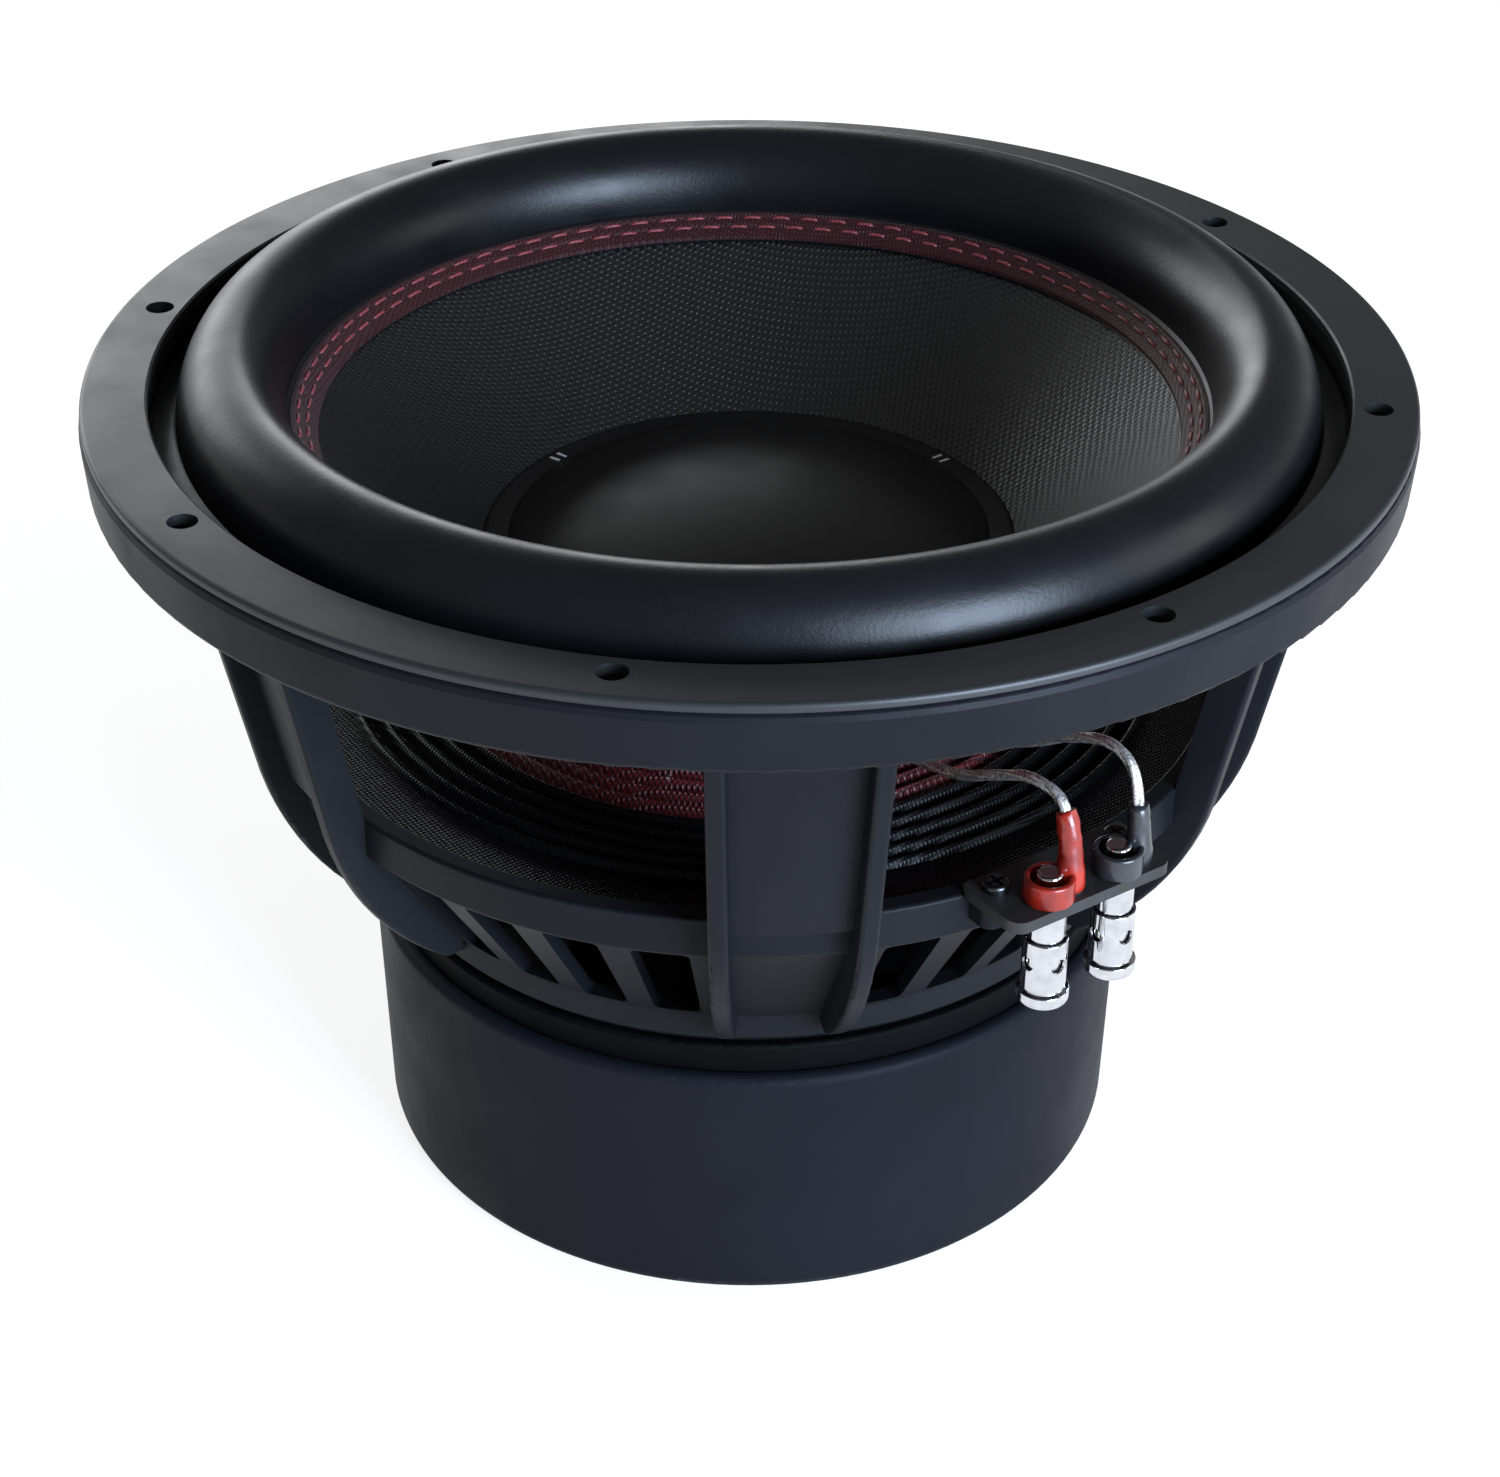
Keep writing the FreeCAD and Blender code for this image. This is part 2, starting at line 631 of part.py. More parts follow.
def terminal_plate(side):
    """A phenolic board on its bracket, with a hole for each terminal's stud and each screw."""
    half_w = TERMINAL_PLATE_W / 2
    outline = [
        (TERMINAL_PLATE_INNER_X, -half_w, 1.0),
        (TERMINAL_PLATE_OUTER_X, -half_w, 4.0),
        (TERMINAL_PLATE_OUTER_X, half_w, 4.0),
        (TERMINAL_PLATE_INNER_X, half_w, 1.0),
    ]
    face = Part.Face(rounded_wire([(side * c[0], *c[1:]) for c in outline], FLAT_PLANE))
    face.translate(Vector(0, 0, TERMINAL_PLATE_Z))
    board = face.extrude(Vector(0, 0, TERMINAL_PLATE_T))
    low, high = TERMINAL_PLATE_Z - 1.0, TERMINAL_PLATE_Z + TERMINAL_PLATE_T + 1.0
    cuts = []
    for y in (-1, 1):
        cuts.append(disc(STUD_R, low, high, side * TERMINAL_X, y * TERMINAL_PITCH / 2))
        cuts.append(disc(1.9, low, high, side * TERMINAL_PLATE_SCREW_X, y * TERMINAL_PLATE_SCREW_Y))
    return board.cut(cuts)


def plate_screws():
    """Pan-head cross screws that hold the terminal plates to their brackets."""
    top = TERMINAL_PLATE_Z + TERMINAL_PLATE_T
    screws = []
    for side in (-1, 1):
        for y in (-TERMINAL_PLATE_SCREW_Y, TERMINAL_PLATE_SCREW_Y):
            x = side * TERMINAL_PLATE_SCREW_X
            head = turned_at([(0, top), (3.2, top), (3.2, top + 2.2, 1.0), (0, top + 2.2)], x, y)
            slot = Part.makeBox(4.6, 0.8, 1.2, Vector(x - 2.3, y - 0.4, top + 1.3))
            cross = Part.makeBox(0.8, 4.6, 1.2, Vector(x - 0.4, y - 2.3, top + 1.3))
            shank = disc(PLATE_SCREW_R, top - 7.0, top, x, y)
            screws.append(head.fuse(shank).cut([slot, cross]).removeSplitter())
    return screws


def wire_holes(x, y, z):
    """Two crossed bores through a terminal, along X and along Y."""
    reach = SLEEVE_FLARE_R + 1.0
    starts = ((Vector(x, y - reach, z), Vector(0, 1, 0)), (Vector(x - reach, y, z), Vector(1, 0, 0)))
    return [Part.makeCylinder(WIRE_HOLE_R, 2 * reach, start, along) for start, along in starts]


def terminal_post(x, y):
    """The fixed post: a stud up through the plate, and a plain shank below it with the wire holes."""
    corners = [
        (0, STUD_TOP_Z),
        (STUD_R, STUD_TOP_Z, 0.8),
        (STUD_R, TERMINAL_PLATE_Z),
        (POST_R, TERMINAL_PLATE_Z, 0.3),
        (POST_R, POST_LOW_Z, 0.4),
        (0, POST_LOW_Z),
    ]
    return turned_at(corners, x, y).cut(wire_holes(x, y, SLEEVE_HOLE_Z + PUSH_TRAVEL))


def terminal_sleeve(x, y):
    """The sliding sleeve: a barrel with wire holes, a groove, and a flared cap that a thumb pushes up."""
    bore_r = POST_R + RUN_CLEARANCE
    corners = [
        (0, SLEEVE_LOW_Z),
        (SLEEVE_FLARE_R, SLEEVE_LOW_Z, 1.2),
        (SLEEVE_FLARE_R, SLEEVE_FLARE_Z - 0.9, 0.4),
        (SLEEVE_R - 0.1, SLEEVE_FLARE_Z - 0.5),
        (SLEEVE_R - 0.1, SLEEVE_FLARE_Z),
        (SLEEVE_R, SLEEVE_FLARE_Z, 0.0),
        (SLEEVE_R, SLEEVE_TOP_Z, 0.25),
        (bore_r, SLEEVE_TOP_Z),
        (bore_r, SLEEVE_FLOOR_Z),
        (0, SLEEVE_FLOOR_Z),
    ]
    return turned_at(corners, x, y).cut(wire_holes(x, y, SLEEVE_HOLE_Z))


def terminal_spring(x, y):
    """The spring between the sleeve's floor and the post, as its outer envelope."""
    return turned_at(
        [(2.2, SLEEVE_FLOOR_Z), (3.6, SLEEVE_FLOOR_Z), (3.6, POST_LOW_Z), (2.2, POST_LOW_Z)], x, y
    )


def stud_collar(x, y):
    """The coloured insulating cup that stands on the plate round a stud and its nut."""
    base = TERMINAL_PLATE_Z + TERMINAL_PLATE_T
    top = base + COLLAR_T
    corners = [(COLLAR_BORE_R, base), (COLLAR_R, base, 0.5), (COLLAR_R, top, 0.7), (COLLAR_BORE_R, top, 0.5)]
    return turned_at(corners, x, y)


def solder_lug(x, y):
    """A tinned tab over the stud, held by a nut, reaching along the plate to the lead."""
    base = TERMINAL_PLATE_Z + TERMINAL_PLATE_T
    tab = Part.makeBox(2 * LUG_HALF_W, LUG_REACH + 1.8, LUG_T, Vector(x - LUG_HALF_W, y, base))
    eye = disc(4.4, base, base + LUG_T, x, y)
    hole = disc(STUD_R, base - 1, base + 2, x, y)
    return eye.fuse(tab).cut(hole).removeSplitter()


def stud_nut(x, y):
    """The hexagonal nut on a stud, over its lug."""
    base = TERMINAL_PLATE_Z + TERMINAL_PLATE_T + LUG_T
    top = base + NUT_T
    rounded = turned_at([(0, base), (NUT_R, base, 0.3), (NUT_R, top, 0.7), (0, top)], x, y)
    return hexagon(NUT_R, x, y, base, NUT_T).common(rounded).cut(disc(STUD_R, base - 1, top + 1, x, y))


# ---- Lead wires ----


def lead_route(side, y, pole):
    """A lead's corner points from its lug, up and over into the window, and down to the former."""
    lug_z = TERMINAL_PLATE_Z + TERMINAL_PLATE_T + LUG_T
    lug_y = y + LUG_REACH
    rise = LEAD_RISE[pole]
    end_angle = math.asin(0.45 * lug_y / LEAD_END_R)
    points = [
        (TERMINAL_X, lug_y, lug_z),
        (TERMINAL_X, lug_y, lug_z + 12.0),
        (TERMINAL_X - 4.5, lug_y - 0.4, lug_z + 23.0 + rise),
        (TERMINAL_X - 18.0, lug_y - 1.0, lug_z + 21.0 + rise),
        (TERMINAL_X - 36.0, lug_y - 0.2, lug_z + 9.5 + rise),
        (TERMINAL_X - 55.0, 0.75 * lug_y, lug_z + 2.2),
        (TERMINAL_X - 76.0, 0.55 * lug_y, lug_z + 0.8),
        (LEAD_END_R * math.cos(end_angle), LEAD_END_R * math.sin(end_angle), lug_z + 0.4),
    ]
    return [Vector(side * px, py, pz) for px, py, pz in points]


def tube_path(points):
    """Straight runs joined by tangent arcs, each arc as large as its two runs allow."""
    edges, radii, length = [], [], 0.0
    here = points[0]
    for i in range(1, len(points) - 1):
        before, corner, after = points[i - 1], points[i], points[i + 1]
        run_in, run_out = (corner - before), (after - corner)
        turn = run_in.getAngle(run_out)
        back = LEAD_RUN_SHARE * min(run_in.Length, run_out.Length)
        radius = back / math.tan(turn / 2)
        radii.append(radius)
        to_before, to_after = (before - corner).normalize(), (after - corner).normalize()
        start, end = corner + to_before * back, corner + to_after * back
        reach = radius / math.cos(turn / 2) - radius
        middle = corner + (to_before + to_after).normalize() * reach
        edges.append(Part.LineSegment(here, start).toShape())
        edges.append(Part.Arc(start, middle, end).toShape())
        here = end
    edges.append(Part.LineSegment(here, points[-1]).toShape())
    return Part.Wire(edges), radii


def tube(points, radius):
    """A round tube swept along a route, checked against its section times its length."""
    path, radii = tube_path(points)
    profile = Part.Wire([Part.makeCircle(radius, points[0], points[1] - points[0])])
    solid = path.makePipeShell([profile], True, True)
    expected = math.pi * radius**2 * path.Length
    if abs(solid.Volume / expected - 1) > 0.02:
        raise ValueError("a tube's volume is off its section times its length")
    print("tube length %.1f mm, arc radii %s" % (path.Length, [round(r, 1) for r in radii]))
    return solid


def lead_shrink(side, y, pole):
    """The heat-shrink sleeve over a lead's outer end, following it up from the lug, clear of the nut."""
    points = lead_route(side, y, pole)
    low_z = points[0].z
    corner = Vector(min(side * (TERMINAL_X - 12.0), side * (TERMINAL_X + 8.0)), -30.0, low_z)
    nut_space = disc(NUT_R, low_z - 1.0, low_z + NUT_T + 0.3, side * TERMINAL_X, y)
    sleeve = tube(points[:5], SHRINK_R).cut(nut_space)
    return sleeve.common(Part.makeBox(20.0, 60.0, SHRINK_TOP_Z[pole] - low_z, corner))


def coil_tab(side, y, pole):
    """The small pad on the former where a lead is soldered."""
    spot = lead_route(side, y, pole)[-1]
    inner = FORMER_INNER_R + FORMER_T
    pad = Part.makeBox(3.0, 6.0, 6.0, Vector(0, -3.0, spot.z - 3.0))
    pad.translate(Vector(inner - 0.6, 0, 0))
    angle = math.degrees(math.atan2(spot.y, spot.x))
    return about_z(pad, angle).cut(disc(inner, spot.z - 10, spot.z + 10))


def main():
    os.makedirs("parts", exist_ok=True)
    save("basket", basket())
    save("mounting_gasket", gasket())
    save("surround", surround())
    save("edge_band", edge_band())
    save("cone", cone())
    save("dust_cap", dust_cap())
    save("spider", spider())
    save("coil_former", coil_former())
    save("coil_winding", coil_winding())
    yoke, lower, upper, plate = motor()
    save("t_yoke", yoke)
    save("magnet_lower", lower)
    save("magnet_upper", upper)
    save("top_plate", plate)
    save("magnet_boot", boot())
    save("base_screws", *base_screws())
    save("terminal_plate_screws", *plate_screws())
    lugs, nuts, tabs = [], [], []
    for side, side_name in ((1, "right"), (-1, "left")):
        save("terminal_plate_" + side_name, terminal_plate(side))
        for y, pole in ((-TERMINAL_PITCH / 2, "positive"), (TERMINAL_PITCH / 2, "negative")):
            x = side * TERMINAL_X
            name = side_name + "_" + pole
            save("terminal_post_" + name, terminal_post(x, y))
            save("terminal_sleeve_" + name, terminal_sleeve(x, y))
            save("terminal_spring_" + name, terminal_spring(x, y))
            shrink = lead_shrink(side, y, pole)
            lug = solder_lug(x, y)
            save("stud_collar_" + name, stud_collar(x, y).cut([lug, shrink]))
            save("lead_" + name, tube(lead_route(side, y, pole), LEAD_R).cut(shrink))
            save("lead_shrink_" + name, shrink)
            lugs.append(lug)
            nuts.append(stud_nut(x, y))
            tabs.append(coil_tab(side, y, pole))
    save("solder_lugs", *lugs)
    save("stud_nuts", *nuts)
    save("coil_tabs", *tabs)


main()
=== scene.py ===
"""Looks for a twelve-inch car subwoofer driver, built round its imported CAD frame, in metres."""

import math

import bmesh
import bpy
import numpy as np
from mathutils import Matrix, Vector


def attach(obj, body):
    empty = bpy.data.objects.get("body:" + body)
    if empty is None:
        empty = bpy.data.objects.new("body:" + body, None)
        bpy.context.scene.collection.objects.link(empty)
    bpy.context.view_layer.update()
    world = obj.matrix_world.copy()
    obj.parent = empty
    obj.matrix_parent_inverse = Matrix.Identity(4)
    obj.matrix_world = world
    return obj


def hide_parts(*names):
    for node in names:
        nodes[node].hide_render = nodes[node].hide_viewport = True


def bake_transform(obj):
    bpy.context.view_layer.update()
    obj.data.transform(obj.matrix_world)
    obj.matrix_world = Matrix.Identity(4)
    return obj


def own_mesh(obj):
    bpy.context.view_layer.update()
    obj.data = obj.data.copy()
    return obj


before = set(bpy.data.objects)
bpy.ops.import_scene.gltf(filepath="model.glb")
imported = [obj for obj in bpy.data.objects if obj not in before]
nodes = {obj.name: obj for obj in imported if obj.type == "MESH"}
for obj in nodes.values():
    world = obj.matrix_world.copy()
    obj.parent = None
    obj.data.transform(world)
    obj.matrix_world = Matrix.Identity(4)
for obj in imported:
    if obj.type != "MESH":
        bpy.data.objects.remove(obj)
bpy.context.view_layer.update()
MM = 0.001

SIDES = ((1, "right"), (-1, "left"))
POLES = ((-1, "positive"), (1, "negative"))

# ---------------------------------------------------------------- camera

VIEW_AZIMUTH, VIEW_ELEVATION = math.radians(55.5), math.radians(25.15)
VIEW_DISTANCE, VIEW_PITCH = 0.72464, math.radians(7.32)
VIEW_YAW, VIEW_ROLL = math.radians(0.038), math.radians(0.256)


def make_camera():
    dip = VIEW_ELEVATION + VIEW_PITCH
    back = Vector((0, -math.cos(VIEW_ELEVATION), math.sin(VIEW_ELEVATION))) * VIEW_DISTANCE
    ahead = Vector((math.sin(VIEW_YAW) * math.cos(dip), math.cos(VIEW_YAW) * math.cos(dip), -math.sin(dip)))
    right = Vector((math.cos(VIEW_YAW), -math.sin(VIEW_YAW), 0))
    up = right.cross(ahead)
    c, s = math.cos(VIEW_ROLL), math.sin(VIEW_ROLL)
    right, up = c * right + s * up, -s * right + c * up
    turn = Matrix.Rotation(VIEW_AZIMUTH, 4, "Z")
    pose = Matrix((right, up, -ahead)).transposed().to_4x4()
    pose.translation = back
    data = bpy.data.cameras.new("camera")
    data.sensor_width, data.lens = 36.0, 71.33
    data.clip_start, data.clip_end = 0.01, 50
    camera = bpy.data.objects.new("camera", data)
    bpy.context.scene.collection.objects.link(camera)
    camera.matrix_world = Matrix.Translation((0, 0, 0.212)) @ turn @ pose
    bpy.context.scene.camera = camera


make_camera()

# ---------------------------------------------------------------- materials


class Look:
    """One procedural material: a Principled shader fed by colour, roughness and bump chains."""

    def __init__(self, name, rough, metallic=0.0, **fixed):
        self.material = bpy.data.materials.new(name)
        self.material.use_nodes = True
        self.tree = self.material.node_tree
        self.shader = self.tree.nodes["Principled BSDF"]
        self.shader.inputs["Roughness"].default_value = rough
        self.shader.inputs["Metallic"].default_value = metallic
        for key, value in fixed.items():
            self.shader.inputs[key.replace("_", " ")].default_value = value
        self.place = self.node("ShaderNodeTexCoord").outputs["Object"]
        self.height = None

    def node(self, kind, inputs=None, **settings):
        made = self.tree.nodes.new(kind)
        for key, value in settings.items():
            setattr(made, key, value)
        for key, value in (inputs or {}).items():
            if isinstance(value, bpy.types.NodeSocket):
                self.tree.links.new(value, made.inputs[key])
            else:
                made.inputs[key].default_value = value
        return made

    def math(self, operation, *values):
        return self.node("ShaderNodeMath", dict(enumerate(values)), operation=operation).outputs[0]

    def noise(self, scale, detail=3.0, rough=0.55, stretch=None):
        place = self.place
        if stretch:
            place = self.node("ShaderNodeMapping", {"Vector": place, "Scale": stretch}).outputs[0]
        inputs = {"Vector": place, "Scale": scale, "Detail": detail, "Roughness": rough}
        return self.node("ShaderNodeTexNoise", inputs).outputs["Fac"]

    def spread(self, source, low, high, low_to=0.0, high_to=1.0):
        inputs = {"Value": source, "From Min": low, "From Max": high, "To Min": low_to, "To Max": high_to}
        return self.node("ShaderNodeMapRange", inputs).outputs[0]

    def mix(self, share, first, second):
        made = self.node("ShaderNodeMix", data_type="RGBA")
        self.tree.links.new(share, made.inputs[0])
        for socket, value in ((made.inputs[6], first), (made.inputs[7], second)):
            if isinstance(value, bpy.types.NodeSocket):
                self.tree.links.new(value, socket)
            else:
                socket.default_value = (*value, 1)
        return made.outputs[2]

    def colour(self, socket):
        self.tree.links.new(socket, self.shader.inputs["Base Color"])
        return self

    def roughness(self, socket):
        self.tree.links.new(socket, self.shader.inputs["Roughness"])
        return self

    def bump(self, socket, distance, strength=1.0):
        made = self.node("ShaderNodeBump", {"Height": socket, "Distance": distance, "Strength": strength})
        if self.height is not None:
            self.tree.links.new(self.height, made.inputs["Normal"])
        self.height = made.outputs[0]
        self.tree.links.new(self.height, self.shader.inputs["Normal"])
        return self

    def mottled(self, dark, light, scale, rough_low, rough_high, grain, grain_depth):
        """Cloudy colour and gloss with a fine grain: the base of every painted or moulded surface."""
        cloud = self.noise(scale, 4.0)
        self.colour(self.mix(self.spread(cloud, 0.3, 0.7), dark, light))
        smear = self.noise(scale * 2.7, 3.0)
        self.roughness(self.spread(smear, 0.3, 0.7, rough_low, rough_high))
        if grain_depth:
            self.bump(self.noise(grain, 2.0), grain_depth)
        return self

    def polar(self):
        """Angle about Z in radians, and distance from Z in metres."""
        split = self.node("ShaderNodeSeparateXYZ", {"Vector": self.place})
        x, y, z = split.outputs
        radius = self.math("SQRT", self.math("ADD", self.math("MULTIPLY", x, x), self.math("MULTIPLY", y, y)))
        return self.math("ARCTAN2", y, x), radius, x, y, z

    def weave(self, pitch):
        """Over-and-under threads along X and Y, as 0 to 1, with the pattern's two thread directions."""
        _, _, x, y, _ = self.polar()
        wobble = self.math("MULTIPLY", self.math("SUBTRACT", self.noise(60.0, 2.0), 0.5), pitch * 0.7)
        turn = math.pi / pitch
        across = self.math("SINE", self.math("MULTIPLY", self.math("ADD", x, wobble), turn))
        along = self.math("SINE", self.math("MULTIPLY", self.math("ADD", y, wobble), turn))
        over = self.math("MULTIPLY", across, along)
        crown = self.math("MULTIPLY", self.math("ABSOLUTE", across), self.math("ABSOLUTE", along))
        return over, crown


def cast_coat():
    look = Look("satin_black_coat", 0.45, Specular_IOR_Level=0.12)
    look.mottled((0.0055, 0.006, 0.008), (0.009, 0.0095, 0.0125), 14.0, 0.40, 0.52, 1500.0, 0.00003)
    return look.bump(look.noise(220.0, 2.0), 0.00004).material


def flange_rubber():
    look = Look("gasket_rubber", 0.42, Specular_IOR_Level=0.5)
    look.mottled((0.015, 0.0155, 0.017), (0.022, 0.0225, 0.025), 18.0, 0.38, 0.50, 1800.0, 0.00003)
    return look.material


def roll_rubber():
    look = Look("surround_rubber", 0.35, Specular_IOR_Level=0.3)
    look.mottled((0.004, 0.004, 0.0055), (0.007, 0.007, 0.009), 20.0, 0.30, 0.40, 2600.0, 0.00002)
    look.bump(look.noise(900.0, 2.0), 0.00004)
    return look.bump(look.noise(90.0, 2.0), 0.00005).material


def boot_rubber():
    look = Look("boot_rubber", 0.5, Specular_IOR_Level=0.06)
    look.mottled((0.0065, 0.007, 0.010), (0.0100, 0.0105, 0.015), 12.0, 0.45, 0.58, 1400.0, 0.00004)
    rub = look.spread(look.noise(35.0, 5.0, 0.7, (1, 1, 0.25)), 0.62, 0.72)
    return look.bump(rub, 0.00003).material


def cone_front():
    look = Look("cone_weave_front", 0.35, Specular_IOR_Level=0.65)
    over, crown = look.weave(0.0011)
    tone = look.spread(look.noise(900.0, 2.0), 0.35, 0.65)
    base = look.mix(tone, (0.004, 0.004, 0.0045), (0.010, 0.010, 0.011))
    look.colour(look.mix(crown, (0.0025, 0.0025, 0.0025), base))
    look.roughness(look.spread(crown, 0.2, 0.8, 0.50, 0.28))
    return look.bump(look.math("ADD", crown, look.math("MULTIPLY", over, 0.6)), 0.00014).material


def red_weave(name, pitch, red_low, red_high):
    """Red cloth with pale flecks, as on the cone's back and the spider's middle."""
    look = Look(name, 0.5, Specular_IOR_Level=0.5)
    over, crown = look.weave(pitch)
    fleck = look.spread(look.noise(420.0, 2.0), 0.68, 0.74)
    cloud = look.spread(look.noise(24.0, 4.0), 0.3, 0.7)
    red = look.mix(cloud, red_low, red_high)
    woven = look.mix(look.spread(crown, 0.0, 0.6), (0.012, 0.001, 0.002), red)
    look.colour(look.mix(fleck, woven, (0.42, 0.30, 0.28)))
    look.roughness(look.spread(crown, 0.2, 0.8, 0.6, 0.34))
    return look.bump(look.math("ADD", crown, look.math("MULTIPLY", over, 0.6)), 0.00028).material


def red_band():
    look = Look("stitched_band", 0.5, Sheen_Weight=0.1, Specular_IOR_Level=0.35)
    over, crown = look.weave(0.0007)
    cloud = look.spread(look.noise(70.0, 3.0), 0.3, 0.7)
    red = look.mix(cloud, (0.050, 0.003, 0.006), (0.085, 0.006, 0.011))
    look.colour(look.mix(crown, (0.020, 0.0015, 0.003), red))
    look.roughness(look.spread(crown, 0.2, 0.8, 0.6, 0.42))
    return look.bump(look.math("ADD", crown, look.math("MULTIPLY", over, 0.6)), 0.00012).material


def thread():
    look = Look("stitch_thread", 0.4, Sheen_Weight=0.15, Specular_IOR_Level=0.6)
    fibre = look.noise(2600.0, 2.0, 0.5, (1, 1, 0.4))
    look.colour(look.mix(look.spread(fibre, 0.35, 0.65), (0.20, 0.020, 0.028), (0.42, 0.075, 0.085)))
    look.roughness(look.spread(fibre, 0.3, 0.7, 0.34, 0.5))
    return look.bump(fibre, 0.00006).material


def cap_plastic():
    look = Look("dust_cap_plastic", 0.42, Specular_IOR_Level=0.3)
    look.mottled((0.007, 0.007, 0.0075), (0.010, 0.010, 0.0105), 30.0, 0.38, 0.48, 2200.0, 0.00002)
    return look.material


def ink(name, dark, light, rough):
    look = Look(name, rough, Specular_IOR_Level=0.5)
    return look.mottled(dark, light, 160.0, rough - 0.05, rough + 0.08, 2500.0, 0.00001).material


def spider_cloth():
    look = Look("spider_cloth", 0.30, Specular_IOR_Level=0.14)
    over, crown = look.weave(0.0011)
    cloud = look.spread(look.noise(40.0, 3.0), 0.3, 0.7)
    look.colour(look.mix(cloud, (0.0015, 0.0015, 0.002), (0.003, 0.003, 0.004)))
    look.roughness(look.spread(crown, 0.1, 0.9, 0.40, 0.22))
    return look.bump(crown, 0.00010).material


def turned_metal(name, dark, light, rough, depth=0.00001, spacing=2600.0):
    """Bright metal with fine lathe marks round Z and faint smears."""
    look = Look(name, rough, 1.0)
    smear = look.noise(300.0, 3.0)
    look.colour(look.mix(look.spread(smear, 0.3, 0.7), dark, light))
    look.roughness(look.spread(look.noise(700.0, 3.0), 0.3, 0.7, rough * 0.7, rough * 1.4))
    return look.bump(look.noise(spacing, 1.0, 0.5, (0.02, 0.02, 1.0)), depth).material


def black_steel():
    look = Look("black_plated_steel", 0.38, 0.6)
    look.mottled((0.018, 0.018, 0.020), (0.030, 0.030, 0.033), 30.0, 0.32, 0.45, 1500.0, 0.00002)
    return look.material


def plate_black():
    look = Look("plate_black", 0.6, Specular_IOR_Level=0.05)
    look.mottled((0.0015, 0.0015, 0.0018), (0.003, 0.003, 0.0035), 30.0, 0.55, 0.68, 1500.0, 0.00002)
    return look.material


def ferrite():
    look = Look("ferrite", 0.6)
    return look.mottled((0.020, 0.020, 0.022), (0.040, 0.040, 0.042), 60.0, 0.5, 0.7, 800.0, 0.00006).material


def copper_winding():
    """Enamelled wire laid in close turns along Z."""
    look = Look("copper_winding", 0.28, 1.0)
    _, _, _, _, z = look.polar()
    turns = look.math("ABSOLUTE", look.math("SINE", look.math("MULTIPLY", z, math.pi / 0.0007)))
    look.colour(look.mix(turns, (0.16, 0.05, 0.02), (0.62, 0.25, 0.12)))
    look.roughness(look.spread(look.noise(500.0), 0.3, 0.7, 0.22, 0.38))
    return look.bump(turns, 0.00012).material


def former_film():
    look = Look("former_black", 0.35, 0.7)
    look.mottled((0.010, 0.010, 0.011), (0.020, 0.020, 0.022), 50.0, 0.28, 0.42, 1200.0, 0.00002)
    return look.material


def board():
    look = Look("phenolic_board", 0.5)
    look.mottled((0.014, 0.013, 0.013), (0.024, 0.023, 0.023), 90.0, 0.42, 0.58, 1600.0, 0.00003)
    return look.material


def tinsel():
    look = Look("tinsel_braid", 0.32, 0.8)
    strand = look.noise(1500.0, 2.0, 0.5)
    look.colour(look.mix(look.spread(strand, 0.35, 0.65), (0.42, 0.40, 0.38), (0.90, 0.88, 0.86)))
    look.roughness(look.spread(strand, 0.3, 0.7, 0.25, 0.45))
    return look.bump(strand, 0.00012).material


def shrink(name, dark, light):
    look = Look(name, 0.3, Specular_IOR_Level=0.6, Coat_Weight=0.3, Coat_Roughness=0.2)
    look.mottled(dark, light, 130.0, 0.24, 0.4, 900.0, 0.00004)
    return look.bump(look.noise(260.0, 2.0, 0.5, (1, 1, 0.4)), 0.00025).material


LOOKS = {
    "coat": cast_coat(),
    "gasket": flange_rubber(),
    "roll": roll_rubber(),
    "boot": boot_rubber(),
    "front": cone_front(),
    "back": red_weave("cone_weave_back", 0.0016, (0.050, 0.002, 0.005), (0.12, 0.006, 0.012)),
    "spider_red": red_weave("spider_red", 0.0010, (0.10, 0.003, 0.008), (0.22, 0.010, 0.018)),
    "band": red_band(),
    "thread": thread(),
    "cap": cap_plastic(),
    "silver_ink": ink("silver_ink", (0.74, 0.74, 0.76), (0.92, 0.92, 0.94), 0.38),
    "spider": spider_cloth(),
    "chrome": turned_metal("chrome", (0.60, 0.60, 0.62), (0.76, 0.76, 0.78), 0.10),
    "satin": turned_metal("satin_nickel", (0.52, 0.51, 0.50), (0.70, 0.69, 0.67), 0.22),
    "tin": turned_metal("dull_tin", (0.48, 0.47, 0.45), (0.66, 0.65, 0.63), 0.34, 0.00003),
    "black_steel": black_steel(),
    "plate_black": plate_black(),
    "screw": turned_metal("blackened_screw", (0.05, 0.05, 0.055), (0.11, 0.11, 0.115), 0.3),
    "ferrite": ferrite(),
    "copper": copper_winding(),
    "former": former_film(),
    "board": board(),
    "tinsel": tinsel(),
    "red_shrink": shrink("red_shrink", (0.12, 0.003, 0.002), (0.42, 0.018, 0.006)),
    "black_shrink": shrink("black_shrink", (0.014, 0.014, 0.016), (0.030, 0.030, 0.034)),
}


def dress(obj, *names):
    obj.data.materials.clear()
    for name in names:
        obj.data.materials.append(LOOKS[name])
    return obj


# ---------------------------------------------------------------- mesh builders


